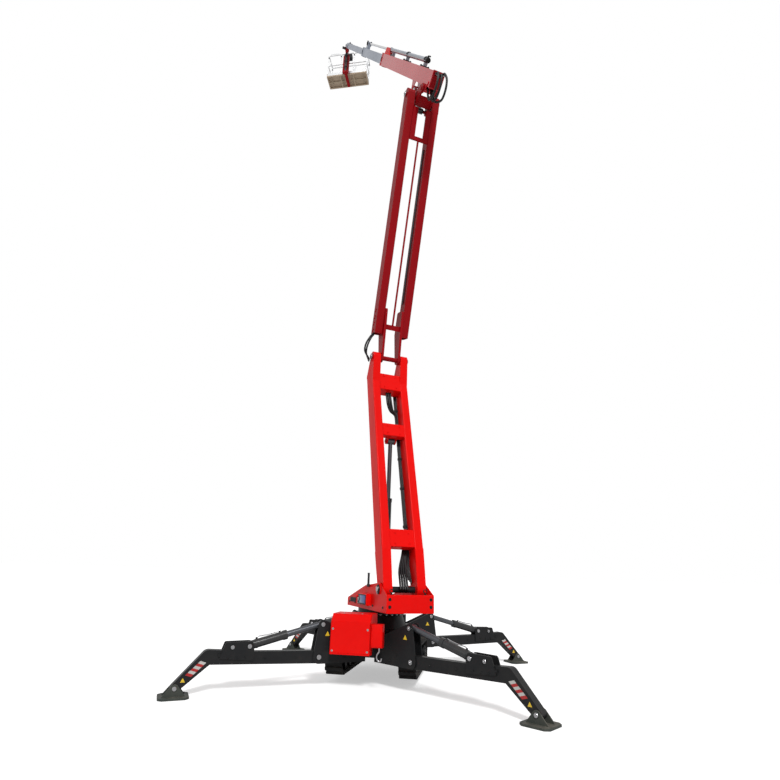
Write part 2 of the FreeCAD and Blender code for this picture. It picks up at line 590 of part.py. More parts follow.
lift_top = on_line(ARM_PIVOT, LOWER_LEAN, *LIFT_EYE)
lift_reach, lift_angle = between(LIFT_PIVOT, lift_top)
tube = barrel(LIFT_BARREL_LENGTH, LIFT_BARREL_R, LIFT_ROD_R, 58.0, LIFT_LUG_IN - 12, 32.0)
nodes["lift_barrel"] = turned(in_plane(tube, lift_angle, LIFT_PIVOT))
stem = piston_rod(lift_reach, LIFT_ROD_LENGTH, LIFT_ROD_R, 50.0, LIFT_LUG_IN - 8, 32.0)
nodes["lift_rod"] = turned(in_plane(stem, lift_angle, LIFT_PIVOT))

# Upper arm, drawn upright from the elbow pin
ELBOW = on_line(ARM_PIVOT, LOWER_LEAN, LOWER_LENGTH, ELBOW_N)
MID_X = UPPER_PIN_M     # arm's middle line in its own drawing
upper_half = UPPER_DEPTH / 2
NECK_IN = UPPER_RAIL_IN - NECK_THICK


def upper_rail(s):
    """Box rail with a neck plate down to the elbow pin and a round top."""
    y0, y1 = sided(UPPER_RAIL_IN, RAIL_OUT, s)
    n0, n1 = sided(NECK_IN, UPPER_RAIL_IN, s)
    rail = box(MID_X - upper_half, MID_X + upper_half, y0, y1, UPPER_RAIL_START, UPPER_LENGTH - 200)
    rail = rail.makeFillet(14, [e for e in rail.Edges if e.BoundBox.ZLength > 1000])
    top = belt([(MID_X + upper_half - 30, UPPER_LENGTH - 230, 30), (MID_X, UPPER_LENGTH, UPPER_TOP_R),
                (MID_X - upper_half + 30, UPPER_LENGTH - 230, 30)], y0, y1)
    neck = belt([(0, 0, NECK_R), (MID_X + upper_half - 30, UPPER_RAIL_START + 60, 30),
                 (MID_X + upper_half - 40, NECK_END - 40, 40), (MID_X - upper_half + 40, NECK_END - 40, 40)], n0, n1)
    solid = fuse([rail, top, neck])
    solid = solid.cut(box(MID_X - upper_half + RAIL_WALL, MID_X + upper_half - RAIL_WALL,
                          y0 + RAIL_WALL, y1 - RAIL_WALL, UPPER_RAIL_START - 1, UPPER_LENGTH - 240))
    solid = solid.cut(cross_pin(MID_X, UPPER_LENGTH, ARM_PIN_R + FIT, RAIL_OUT + 1))
    return solid.cut(cross_pin(0, 0, ARM_PIN_R + FIT, RAIL_OUT + 1))


nodes["upper_rail_left"] = on_arm(upper_rail(1), UPPER_LEAN, ELBOW)
nodes["upper_rail_right"] = on_arm(upper_rail(-1), UPPER_LEAN, ELBOW)
face = MID_X - upper_half
crosshead = box(face, face + CROSSHEAD_THICK, -UPPER_RAIL_IN, UPPER_RAIL_IN, CROSSHEAD_FROM, CROSSHEAD_TO)
slot = box(face - 1, face + CROSSHEAD_THICK + 1, -CROSSHEAD_SLOT / 2, CROSSHEAD_SLOT / 2,
           CROSSHEAD_BRIDGE, CROSSHEAD_TO + 1)
nodes["upper_crosshead"] = on_arm(crosshead.cut(slot), UPPER_LEAN, ELBOW)
TUBE_START = 520.0
TUBE_PLATE = 12.0
foot_plate = box(face, face + TUBE_PLATE, -NECK_IN, NECK_IN, TUBE_START, TUBE_START + 90)
pipe_x = face + TUBE_PLATE + TUBE_R / 2
pipe = rod((pipe_x, 0, TUBE_START + 20), (pipe_x, 0, CROSSHEAD_FROM), TUBE_R)
nodes["service_tube"] = on_arm(fuse([foot_plate, pipe]), UPPER_LEAN, ELBOW)

# Head, which stays level, drawn from the upper arm's top pin
HEAD = on_line(ELBOW, UPPER_LEAN, UPPER_LENGTH, -UPPER_PIN_M)
HEAD_IN = HEAD_OUT - HEAD_PLATE
RAM_PIN_R = 28.0


def head():
    """Two plates on stub pins in the arm's top, joined below, that carry the boom and its ram."""
    outline = [(BOOM_PIVOT[0], BOOM_PIVOT[1], HEAD_RADII[1]), (RAM_PIVOT[0], RAM_PIVOT[1], HEAD_RADII[2]),
               (0, 0, HEAD_RADII[0])]
    parts = [belt(outline, *sided(HEAD_IN, HEAD_OUT, s)) for s in (1, -1)]
    parts += [rod((0, s * HEAD_IN, 0), (0, s * (RAIL_OUT + 18), 0), ARM_PIN_R) for s in (1, -1)]
    parts.append(cross_pin(*BOOM_PIVOT, ARM_PIN_R - 4, HEAD_OUT + 12))
    parts.append(cross_pin(*RAM_PIVOT, RAM_PIN_R, HEAD_OUT + 10))
    parts.append(box(BOOM_PIVOT[0] + 90, RAM_PIVOT[0] - 110, -HEAD_IN, HEAD_IN, BOOM_PIVOT[1] - 72,
                     BOOM_PIVOT[1] - 58))
    return fuse(parts)


nodes["head_bracket"] = turned(in_plane(head(), 0, HEAD))
BOOM = (HEAD[0] + BOOM_PIVOT[0], HEAD[1] + BOOM_PIVOT[1])
RAM = (HEAD[0] + RAM_PIVOT[0], HEAD[1] + RAM_PIVOT[1])


def on_boom(shape):
    """Raise a piece drawn level from the boom pivot and turn it with the plane."""
    return turned(in_plane(shape, BOOM_RISE, BOOM))


def boom_point(s, t):
    """Point (x, z) at s along the boom and t across it."""
    c, d = math.cos(math.radians(BOOM_RISE)), math.sin(math.radians(BOOM_RISE))
    return BOOM[0] + s * c - t * d, BOOM[1] + s * d + t * c


def section(s0, s1, width, height, wall):
    """Boom section between s0 and s1, open at both ends."""
    tube = square_tube(s0, s1, width, height, wall)
    tube.translate(V(0, 0, BOOM_AXIS_T))
    return tube


def slide_pads(front, width, height, room_w, room_h):
    """Four wear pads in a section's mouth, for a section of width by height that slides through it."""
    s0 = front - COLLAR
    pads = [box(s0, front, *sided(width / 2 + FIT, room_w / 2 + 1, s), BOOM_AXIS_T - 40, BOOM_AXIS_T + 40)
            for s in (1, -1)]
    pads += [box(s0, front, -width / 4, width / 4, *sorted((BOOM_AXIS_T + s * (height / 2 + FIT),
                                                           BOOM_AXIS_T + s * (room_h / 2 + 1)))) for s in (1, -1)]
    return pads


boom_w, boom_h = BOOM_WIDTH / 2, BOOM_HEIGHT / 2
CLEVIS_IN = 50.0
CLEVIS = 14.0
outer = section(BOOM_BACK, BOOM_FRONT, BOOM_WIDTH, BOOM_HEIGHT, BOOM_WALL)
cap = box(BOOM_BACK - 12, BOOM_BACK, -boom_w - 10, boom_w + 10, BOOM_AXIS_T - boom_h - 10, BOOM_AXIS_T + boom_h + 10)
collar = section(BOOM_FRONT - COLLAR, BOOM_FRONT, BOOM_WIDTH + 20, BOOM_HEIGHT + 20, 18)
boom_ear = [(0, 0, 74), (330, BOOM_AXIS_T - boom_h + 60, 25), (-150, BOOM_AXIS_T - boom_h + 60, 25)]
ears = [belt(boom_ear, *sided(boom_w, boom_w + 12, s)) for s in (1, -1)]
hub = cross_pin(0, 0, 52, boom_w + 12)
stays = box(-50, 50, -boom_w, boom_w, 30, BOOM_AXIS_T - boom_h + 2)
clevis = [(RAM_EYE[0], RAM_EYE[1], 44), (RAM_EYE[0] + 130, BOOM_AXIS_T - boom_h + 2, 0),
          (RAM_EYE[0] - 130, BOOM_AXIS_T - boom_h + 2, 0)]
clevises = [belt(clevis, *sided(CLEVIS_IN, CLEVIS_IN + CLEVIS, s)) for s in (1, -1)]
caps = [rod((RAM_EYE[0], s * CLEVIS_IN, RAM_EYE[1]), (RAM_EYE[0], s * (CLEVIS_IN + CLEVIS + 8), RAM_EYE[1]), RAM_PIN_R)
        for s in (1, -1)]
outer_pads = slide_pads(BOOM_FRONT, MID_WIDTH, MID_HEIGHT, BOOM_WIDTH - 2 * BOOM_WALL, BOOM_HEIGHT - 2 * BOOM_WALL)
boom = fuse([outer, cap, collar, hub, stays] + ears + clevises + caps + outer_pads)
boom = boom.cut(cross_pin(0, 0, ARM_PIN_R - 4 + FIT, boom_w + 13))
nodes["boom_outer"] = on_boom(boom)

ram_reach, ram_angle = between(RAM, boom_point(*RAM_EYE))
tube = barrel(RAM_BARREL_LENGTH, RAM_BARREL_R, RAM_ROD_R, 50.0, 60.0, RAM_PIN_R)
nodes["boom_barrel"] = turned(in_plane(tube, ram_angle, RAM))
stem = piston_rod(ram_reach, RAM_ROD_LENGTH, RAM_ROD_R, 36.0, CLEVIS_IN - 6, RAM_PIN_R)
nodes["boom_rod"] = turned(in_plane(stem, ram_angle, RAM))

boom_top = BOOM_AXIS_T + boom_h
SADDLE = 60.0
pusher = rod((PUSHER_BACK, 0, PUSHER_T), (PUSHER_FRONT, 0, PUSHER_T), PUSHER_R)
pusher = fuse([pusher, rod((PUSHER_FRONT - 70, 0, PUSHER_T), (PUSHER_FRONT, 0, PUSHER_T), PUSHER_R + 8)])
SADDLE_HALF = 32.0
saddles = [box(s, s + SADDLE, -SADDLE_HALF, SADDLE_HALF, boom_top, PUSHER_T - 12)
           for s in (PUSHER_BACK + 60, 2300, PUSHER_FRONT - 440)]
pusher = fuse([pusher] + saddles)
nodes["telescope_barrel"] = on_boom(pusher.cut(rod((PUSHER_BACK + 40, 0, PUSHER_T), (PUSHER_FRONT + 1, 0, PUSHER_T),
                                                   PUSHER_ROD_R + FIT)))

mid_top = BOOM_AXIS_T + MID_HEIGHT / 2
PUSH_S = 7760.0         # where the telescoping rod pushes on the middle section
PUSH_LENGTH = 100.0
mid = section(MID_BACK, MID_FRONT, MID_WIDTH, MID_HEIGHT, SECTION_WALL)
mid_collar = section(MID_FRONT - COLLAR, MID_FRONT, MID_WIDTH + 18, MID_HEIGHT + 18, 16)
mid_pads = slide_pads(MID_FRONT, TIP_WIDTH, TIP_HEIGHT, MID_WIDTH - 2 * SECTION_WALL, MID_HEIGHT - 2 * SECTION_WALL)
post = prism_xz([(PUSH_S - 60, mid_top - 2), (PUSH_S + PUSH_LENGTH + 90, mid_top - 2),
                 (PUSH_S + PUSH_LENGTH, PUSHER_T + 44), (PUSH_S, PUSHER_T + 44)], -42, 42)
post = post.cut(rod((PUSH_S - 61, 0, PUSHER_T), (PUSH_S, 0, PUSHER_T), PUSHER_ROD_R))
nodes["boom_middle"] = on_boom(fuse([mid, mid_collar, post] + mid_pads))
nodes["telescope_rod"] = on_boom(rod((PUSHER_ROD_BACK, 0, PUSHER_T), (PUSH_S, 0, PUSHER_T), PUSHER_ROD_R))

tip_w = TIP_WIDTH / 2
NOSE_R = 46.0
tip = section(TIP_BACK, TIP_FRONT, TIP_WIDTH, TIP_HEIGHT, SECTION_WALL)
tip_plate = belt([(TIP_FRONT - 260, BOOM_AXIS_T - 50, 30), (BASKET_PIVOT_S, BOOM_AXIS_T, NOSE_R),
                  (TIP_FRONT - 260, BOOM_AXIS_T + 50, 30)], tip_w, tip_w + 12)
tip_plates = [tip_plate, tip_plate.mirror(V(0, 0, 0), V(0, 1, 0))]
tip_pin = cross_pin(BASKET_PIVOT_S, BOOM_AXIS_T, 22, tip_w + 22)
nodes["boom_tip"] = on_boom(fuse([tip] + tip_plates + [tip_pin]))

# Basket and its mast, drawn level from the boom's end pin
TIP = boom_point(BASKET_PIVOT_S, BOOM_AXIS_T)


def at_tip(shape):
    """Set a piece drawn from the boom's end pin."""
    return turned(in_plane(shape, 0, TIP))


def on_mast(shape):
    """Turn a piece drawn from the mast's axis with the basket and set it at the boom's end."""
    shape.rotate(V(0, 0, 0), V(0, 0, 1), BASKET_TURN)
    shape.translate(V(MAST_AHEAD, 0, 0))
    return at_tip(shape)


knuckle = cross_pin(0, 0, 44, tip_w - 6)
arm = box(0, MAST_AHEAD - 30, -tip_w + 6, tip_w - 6, -38, 38)
sleeve = Part.makeCylinder(SLEEVE_R, 2 * SLEEVE_HALF, V(MAST_AHEAD, 0, -SLEEVE_HALF))
bracket = fuse([knuckle, arm, sleeve]).cut(cross_pin(0, 0, 22 + FIT, tip_w))
nodes["level_bracket"] = at_tip(bracket.cut(Part.makeCylinder(MAST_R + FIT, 2 * SLEEVE_HALF + 2,
                                                              V(MAST_AHEAD, 0, -SLEEVE_HALF - 1))))

floor_z = -BASKET_DROP
far = BASKET_NEAR + BASKET_DEEP
long_half = BASKET_LONG / 2
top_z = floor_z + BASKET_TALL
mast_half = MAST_SIDE / 2
MAST_CAP = 12.0
FOOT_HIGH = 70.0
neck = Part.makeCylinder(MAST_R, 2 * SLEEVE_HALF + 40, V(0, 0, -SLEEVE_HALF - 20))
cap = Part.makeCylinder(SLEEVE_R, MAST_CAP, V(0, 0, SLEEVE_HALF + 5))
post = box(-mast_half, mast_half, -mast_half, mast_half, floor_z - FOOT_HIGH, -SLEEVE_HALF - 8)
foot = box(-mast_half, far - 60, -mast_half, mast_half, floor_z - FOOT_HIGH, floor_z)
spread = box(-mast_half + 6, mast_half - 6, -MAST_WIDE / 2, MAST_WIDE / 2, floor_z - FOOT_HIGH, -MAST_WIDE_FROM)
nodes["basket_mast"] = on_mast(fuse([neck, cap, post, foot, spread]))

tray = box(BASKET_NEAR, far, -long_half, long_half, floor_z, floor_z + TRAY_HEIGHT)
tray = tray.makeFillet(20, [e for e in tray.Edges if e.BoundBox.ZLength > TRAY_HEIGHT / 2
                            and e.BoundBox.XLength < 1])
RIM = 42.0
bays = 3
bay = (BASKET_LONG - 2 * RIM - (bays - 1) * RIM) / bays
for i in range(bays):
    y = -long_half + RIM + i * (bay + RIM)
    tray = tray.cut(box(BASKET_NEAR + RIM, far - RIM, y, y + bay, floor_z - 1, floor_z + TRAY_HEIGHT - TRAY_SKIN))
deck = floor_z + TRAY_HEIGHT
RAIL_IN = TUBE_RAIL_R + 4
POST_R = TUBE_RAIL_R - 2
x_near, x_far = BASKET_NEAR + RAIL_IN, far - RAIL_IN
y_end = long_half - RAIL_IN
GATE_Y0 = -y_end + 60
GATE_Y1 = GATE_Y0 + GATE_WIDTH
posts = [(x_near, -y_end), (x_near, y_end), (x_far, -y_end), (x_far, y_end), (x_near, -250.0), (x_near, 250.0),
         (x_far, GATE_Y0 - RAIL_IN - 8), (x_far, GATE_Y1 + RAIL_IN + 8), ((x_near + x_far) / 2, -y_end),
         ((x_near + x_far) / 2, y_end)]
rails = [rod((x, y, deck), (x, y, top_z), POST_R) for x, y in posts]
for z in (top_z, (deck + top_z) / 2):
    rails += [rod((x_near, -y_end, z), (x_near, y_end, z), TUBE_RAIL_R),
              rod((x_near, -y_end, z), (x_far, -y_end, z), TUBE_RAIL_R),
              rod((x_near, y_end, z), (x_far, y_end, z), TUBE_RAIL_R),
              rod((x_far, GATE_Y1 + RAIL_IN + 8, z), (x_far, y_end, z), TUBE_RAIL_R),
              rod((x_far, -y_end, z), (x_far, GATE_Y0 - RAIL_IN - 8, z), TUBE_RAIL_R)]
SOCKET = 2.0
socket_r = TUBE_RAIL_R + SOCKET
sockets = [Part.makeCylinder(socket_r, 2 * socket_r, V(x, y, z - socket_r)) for x, y in posts
           for z in (top_z, (deck + top_z) / 2)]
GATE_R = TUBE_RAIL_R - 3
GATE_HINGE_Y = GATE_Y1 - 10
KNUCKLE = 34.0
for z in (deck + 300, top_z - 300):
    ring = Part.makeCylinder(GATE_R + 7, KNUCKLE, V(x_far, GATE_HINGE_Y, z))
    tongue = box(x_far - 6, x_far + 6, GATE_HINGE_Y, GATE_Y1 + RAIL_IN + 8, z, z + KNUCKLE)
    rails.append(ring.fuse(tongue).cut(Part.makeCylinder(GATE_R + FIT, KNUCKLE + 2, V(x_far, GATE_HINGE_Y, z - 1))))
nodes["basket_rails"] = on_mast(fuse(rails + sockets))
kick_z = deck + KICK_HEIGHT
KICK = 3.0
kick = [box(BASKET_NEAR, BASKET_NEAR + KICK, -long_half + 20, long_half - 20, deck, kick_z),
        box(far - KICK, far, GATE_Y1 + RAIL_IN, long_half - 20, deck, kick_z),
        box(BASKET_NEAR + 20, far - 20, -long_half, -long_half + KICK, deck, kick_z),
        box(BASKET_NEAR + 20, far - 20, long_half - KICK, long_half, deck, kick_z)]
nodes["basket_floor"] = on_mast(fuse([tray] + kick))

leaf_z = (deck + 190, top_z - 8)
leaf_y = (GATE_Y0 + 10, GATE_HINGE_Y)
leaf = [rod((x_far, leaf_y[1], z), (x_far, leaf_y[0], z), GATE_R) for z in leaf_z]
leaf += [rod((x_far, y, leaf_z[0]), (x_far, y, leaf_z[1]), GATE_R) for y in leaf_y]
leaf_r = GATE_R + SOCKET
leaf += [Part.makeCylinder(leaf_r, 2 * leaf_r, V(x_far, y, z - leaf_r)) for y in leaf_y for z in leaf_z]
nodes["basket_gate"] = on_mast(fuse(leaf))
console_x = x_near + TUBE_RAIL_R + FIT
console = box(console_x, console_x + 150, -150, 150, top_z - 180, top_z + 12)
nodes["basket_console"] = on_mast(console.makeFillet(15, [e for e in console.Edges
                                                          if e.CenterOfMass.x > console_x + 140]))

os.makedirs("parts", exist_ok=True)
for name, shape in nodes.items():
    shape.exportStep("parts/" + name + ".step")
print(len(nodes), "nodes")
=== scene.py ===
"""Finishes, fittings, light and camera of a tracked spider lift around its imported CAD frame."""
from __future__ import annotations

import json
import logging
import math
from dataclasses import dataclass
from enum import Enum
from typing import Sequence

import bmesh
import bpy
from mathutils import Matrix, Quaternion, Vector

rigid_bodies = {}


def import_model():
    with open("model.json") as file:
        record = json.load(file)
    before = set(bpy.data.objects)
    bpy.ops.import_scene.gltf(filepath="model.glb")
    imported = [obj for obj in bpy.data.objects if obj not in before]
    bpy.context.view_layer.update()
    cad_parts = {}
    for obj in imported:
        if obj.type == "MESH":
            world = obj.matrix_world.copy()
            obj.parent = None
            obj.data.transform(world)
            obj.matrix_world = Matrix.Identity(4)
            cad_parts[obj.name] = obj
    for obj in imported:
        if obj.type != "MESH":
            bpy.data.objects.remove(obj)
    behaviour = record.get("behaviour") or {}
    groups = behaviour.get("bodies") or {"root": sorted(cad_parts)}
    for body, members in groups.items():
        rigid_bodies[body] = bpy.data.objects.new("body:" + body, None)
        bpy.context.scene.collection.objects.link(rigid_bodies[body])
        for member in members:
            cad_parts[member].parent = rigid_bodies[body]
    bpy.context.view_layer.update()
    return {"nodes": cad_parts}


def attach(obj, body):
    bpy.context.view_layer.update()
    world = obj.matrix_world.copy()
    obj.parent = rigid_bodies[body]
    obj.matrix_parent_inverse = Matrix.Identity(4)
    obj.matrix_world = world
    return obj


LOG = logging.getLogger("spider_lift")

Tree = bpy.types.NodeTree
Vec2 = tuple[float, float]
Vec3 = tuple[float, float, float]
Colour = tuple[float, float, float]

UP, DOWN = (0.0, 0.0, 1.0), (0.0, 0.0, -1.0)
AHEAD, BEHIND = (1.0, 0.0, 0.0), (-1.0, 0.0, 0.0)
LEFTWARD = (0.0, 1.0, 0.0)
BOTH = (1, -1)


class Side(Enum):
    """Left or right of a machine part, by the sign of its y."""

    LEFT = 1
    RIGHT = -1


class Corner(Enum):
    """The four outriggers, by the signs of their x and y."""

    FRONT_LEFT = (1, 1)
    FRONT_RIGHT = (1, -1)
    REAR_LEFT = (-1, 1)
    REAR_RIGHT = (-1, -1)


class Texture(Enum):
    """How a surface's fine relief is laid."""

    PEEL = "peel"
    BRUSHED = "brushed"
    CAST = "cast"
    MOULDED = "moulded"


def upright(at: Vec2) -> Vector:
    """Point of the XZ plane as a vector."""
    return Vector((at[0], 0, at[1]))


@dataclass(frozen=True)
class Stance:
    """Places and angles of the mast as it stands, in metres and degrees."""

    yaw: float = 30.8
    lower_lean: float = 14.4
    upper_lean: float = -17.9
    boom_rise: float = 55.0
    basket_turn: float = -29.8
    arm_pivot: Vec2 = (-0.78, 1.17)
    lower_length: float = 3.8
    elbow_out: float = 0.185
    upper_length: float = 4.86
    upper_pin_out: float = 0.165
    boom_pivot: Vec2 = (-0.31, -0.125)
    boom_axis: float = 0.18
    basket_pivot: float = 12.5
    mast_ahead: float = 0.12

    def plane(self) -> Matrix:
        """Matrix of the boom plane on the machine."""
        return Matrix.Rotation(math.radians(self.yaw), 4, "Z")

    def along(self, at: Vec2, lean: float, a: float, n: float) -> Vec2:
        """Point of the boom plane reached along and out from a leaning arm.

        Args:
            at: Start in the plane.
            lean: Arm's lean from upright.
            a: Distance along the arm.
            n: Distance out to the tail side.

        Returns:
            The point's two coordinates in the plane.
        """
        c, s = math.cos(math.radians(lean)), math.sin(math.radians(lean))
        return at[0] + a * s - n * c, at[1] + a * c + n * s

    def on_arm(self, at: Vec2, lean: float) -> Matrix:
        """Matrix of a piece drawn upright from a pin and leant with its arm."""
        turn = Matrix.Rotation(math.radians(lean), 4, "Y")
        return self.plane() @ Matrix.Translation(upright(at)) @ turn

    def lower(self) -> Matrix:
        """Matrix of the lower arm's own drawing, from its pivot."""
        return self.on_arm(self.arm_pivot, self.lower_lean)

    def elbow(self) -> Vec2:
        """Elbow pin in the boom plane."""
        return self.along(self.arm_pivot, self.lower_lean, self.lower_length, self.elbow_out)

    def upper(self) -> Matrix:
        """Matrix of the upper arm's own drawing, from the elbow pin."""
        return self.on_arm(self.elbow(), self.upper_lean)

    def head(self) -> Vec2:
        """Upper arm's top pin in the boom plane."""
        return self.along(self.elbow(), self.upper_lean, self.upper_length, -self.upper_pin_out)

    def boom_start(self) -> Vec2:
        """Boom's own pivot in the boom plane."""
        top = self.head()
        return top[0] + self.boom_pivot[0], top[1] + self.boom_pivot[1]

    def boom(self) -> Matrix:
        """Matrix of the boom's own drawing, from its pivot, along +X."""
        return self.on_arm(self.boom_start(), -self.boom_rise)

    def tip(self) -> Matrix:
        """Matrix of the level pieces at the boom's end pin."""
        end = self.boom() @ Vector((self.basket_pivot, 0, self.boom_axis))
        return Matrix.Translation(end) @ self.plane()

    def basket(self) -> Matrix:
        """Matrix of the basket's own drawing, from the mast's axis."""
        turn = Matrix.Rotation(math.radians(self.basket_turn), 4, "Z")
        return self.tip() @ Matrix.Translation((self.mast_ahead, 0, 0)) @ turn


STANCE = Stance()


@dataclass(frozen=True)
class Outrigger:
    """Places on one outrigger, along its own line, in metres."""

    corner: Corner
    root: Vec2 = (0.85, 0.35)
    pad: Vec2 = (1.95, 2.0)
    pivot: Vec2 = (0.33, 0.36)
    eye: Vec2 = (0.3, 0.735)
    lug: Vec2 = (1.2, 0.505)
    knee: Vec2 = (1.665, 0.4)
    foot_height: float = 0.098
    half: float = 0.055

    @property
    def key(self) -> str:
        """Name as the CAD nodes write it."""
        return self.corner.name.lower()

    def reach(self) -> float:
        """Distance from the root to the pad's middle."""
        return math.hypot(self.pad[0] - self.root[0], self.pad[1] - self.root[1])

    def matrix(self) -> Matrix:
        """Matrix of a piece drawn along the outrigger's line."""
        sx, sy = self.corner.value
        turn = math.atan2(sy * (self.pad[1] - self.root[1]), sx * (self.pad[0] - self.root[0]))
        return Matrix.Translation((sx * self.root[0], sy * self.root[1], 0)) @ Matrix.Rotation(turn, 4, "Z")


# Shader groups that several finishes share


def new_group(name: str, inputs: dict[str, float], output: str) -> tuple:
    """Start a shader group with value inputs and one value output.

    Args:
        name: Group's name.
        inputs: Names and default values of its inputs.
        output: Name of its output.

    Returns:
        The group, its input node's sockets and the output's socket.
    """
    group = bpy.data.node_groups.new(name, "ShaderNodeTree")
    for label, value in inputs.items():
        socket = group.interface.new_socket(label, in_out="INPUT", socket_type="NodeSocketFloat")
        socket.default_value = value
    group.interface.new_socket(output, in_out="OUTPUT", socket_type="NodeSocketFloat")
    start, end = group.nodes.new("NodeGroupInput"), group.nodes.new("NodeGroupOutput")
    return group, start.outputs, end.inputs[output]


def fill(tree: Tree, inputs, values: dict) -> None:
    """Set inputs to numbers, or link them to sockets.

    Args:
        tree: Tree they are in.
        inputs: A node's inputs.
        values: Number, colour or socket for each input's name or place.
    """
    for name, value in values.items():
        if isinstance(value, bpy.types.NodeSocket):
            tree.links.new(value, inputs[name])
        else:
            inputs[name].default_value = value


def add_node(tree: Tree, kind: str, values: dict):
    """Add a shader node with filled inputs and return its outputs."""
    node = tree.nodes.new("ShaderNode" + kind)
    fill(tree, node.inputs, values)
    return node.outputs


def coordinates(tree: Tree, scale: Vec3 = (1.0, 1.0, 1.0), turn: Vec3 = (0.0, 0.0, 0.0)):
    """Add object coordinates, scaled and turned, and return their socket."""
    place = add_node(tree, "TexCoord", {})["Object"]
    return add_node(tree, "Mapping", {"Scale": scale, "Rotation": turn, "Vector": place})[0]


def noise(tree: Tree, coords, scale: float, detail: float, rough: float):
    """Add a noise texture on given coordinates and return its value socket."""
    values = {"Scale": scale, "Detail": detail, "Roughness": rough, "Vector": coords}
    return add_node(tree, "TexNoise", values)["Fac"]


def math_node(tree: Tree, kind: str, a, b, clamp: bool = False):
    """Add a math node.

    Args:
        tree: Tree it goes in.
        kind: Blender's operation name.
        a: Socket or number.
        b: Socket or number.
        clamp: Whether the result stays from 0 to 1.

    Returns:
        Its value socket.
    """
    node = tree.nodes.new("ShaderNodeMath")
    node.operation = kind
    node.use_clamp = clamp
    fill(tree, node.inputs, {0: a, 1: b})
    return node.outputs[0]


def product(tree: Tree, first, *others):
    """Multiply sockets one after the other, clamp the last result and return its socket."""
    for k, other in enumerate(others, 1):
        first = math_node(tree, "MULTIPLY", first, other, clamp=k == len(others))
    return first


def ramp(tree: Tree, value, low: float, high: float, out_low: float = 0.0, out_high: float = 1.0):
    """Add a clamped linear map of a value and return its result socket."""
    values = {"From Min": low, "From Max": high, "To Min": out_low, "To Max": out_high, "Value": value}
    return add_node(tree, "MapRange", values)["Result"]


def height_of(tree: Tree, vector):
    """Split a vector and return the socket of its Z."""
    return add_node(tree, "SeparateXYZ", {0: vector})["Z"]


def dust_group() -> Tree:
    """Dust mask: more on faces that look up, near the ground and in soft patches."""
    group, given, mask = new_group("settled_dust", {"Amount": 0.5, "Height": 1.2}, "Mask")
    geometry = add_node(group, "NewGeometry", {})
    coords = coordinates(group)
    facing = ramp(group, height_of(group, geometry["Normal"]), -0.2, 1.0, 0.15, 1.0)
    low = math_node(group, "DIVIDE", height_of(group, geometry["Position"]), given["Height"])
    near = ramp(group, low, 0.0, 1.0, 1.0, 0.12)
    patches = ramp(group, noise(group, coords, 5.0, 6.0, 0.62), 0.38, 0.72)
    grains = ramp(group, noise(group, coords, 180.0, 2.0, 0.6), 0.35, 0.7, 0.6, 1.0)
    group.links.new(product(group, facing, near, patches, grains, given["Amount"]), mask)
    return group


def scuff_group() -> Tree:
    """Scuff mask: thin broken scratches and a few worn spots."""
    group, given, mask = new_group("paint_scuffs", {"Amount": 0.5}, "Mask")
    coords = coordinates(group)
    slanted = coordinates(group, (3.0, 3.0, 40.0), (0.5, 0.3, 0.8))
    lines = ramp(group, noise(group, slanted, 2.4, 5.0, 0.7), 0.68, 0.72)
    spots = ramp(group, noise(group, coords, 26.0, 5.0, 0.7), 0.7, 0.74)
    where = ramp(group, noise(group, coords, 2.3, 2.0, 0.5), 0.46, 0.62)
    marks = math_node(group, "MAXIMUM", lines, spots)
    group.links.new(product(group, marks, where, given["Amount"]), mask)
    return group


def fade_group() -> Tree:
    """Slow variation of a paint's depth over a large surface."""
    group, given, result = new_group("paint_fade", {"Amount": 0.5}, "Value")
    coords = coordinates(group)
    cloud = ramp(group, noise(group, coords, 1.1, 3.0, 0.5), 0.3, 0.7, -0.5, 0.5)
    fine = ramp(group, noise(group, coords, 14.0, 4.0, 0.6), 0.3, 0.7, -0.2, 0.2)
    both = math_node(group, "MULTIPLY", math_node(group, "ADD", cloud, fine), given["Amount"])
    group.links.new(math_node(group, "ADD", both, 0.5, clamp=True), result)
    return group


def relief_group(texture: Texture) -> Tree:
    """Fine surface height of one texture.

    Args:
        texture: Which relief.

    Returns:
        The group, with an output Height.
    """
    group, given, height = new_group("relief_" + texture.value, {"Scale": 1.0}, "Height")
    stretch, pitch, detail, rough = {
        Texture.PEEL: (1.0, 420.0, 2.0, 0.4),
        Texture.BRUSHED: (24.0, 60.0, 6.0, 0.7),
        Texture.CAST: (1.0, 150.0, 6.0, 0.65),
        Texture.MOULDED: (1.0, 700.0, 3.0, 0.6),
    }[texture]
    fine = noise(group, coordinates(group, (1.0, 1.0, stretch)), pitch, detail, rough)
    group.links.new(math_node(group, "MULTIPLY", fine, given["Scale"]), height)
    return group


class Shared:
    """Shader groups, each built once."""

    def __init__(self) -> None:
        """Build every group."""
        self.dust = dust_group()
        self.scuff = scuff_group()
        self.fade = fade_group()
        self.relief = {t: relief_group(t) for t in Texture}


def use_group(tree: Tree, group: Tree, **values: float):
    """Place a shared group in a material with its own values and return its output socket."""
    node = tree.nodes.new("ShaderNodeGroup")
    node.node_tree = group
    fill(tree, node.inputs, values)
    return node.outputs[0]


def mix_colour(tree: Tree, factor, a, b):
    """Mix two colours by a factor.

    Args:
        tree: Tree it goes in.
        factor: Socket from 0 to 1.
        a: Colour or socket at 0.
        b: Colour or socket at 1.

    Returns:
        The mixed colour's socket.
    """
    a, b = ((*value, 1.0) if isinstance(value, tuple) else value for value in (a, b))
    node = tree.nodes.new("ShaderNodeMix")
    node.data_type = "RGBA"
    fill(tree, node.inputs, {"Factor": factor, 6: a, 7: b})
    return node.outputs[2]


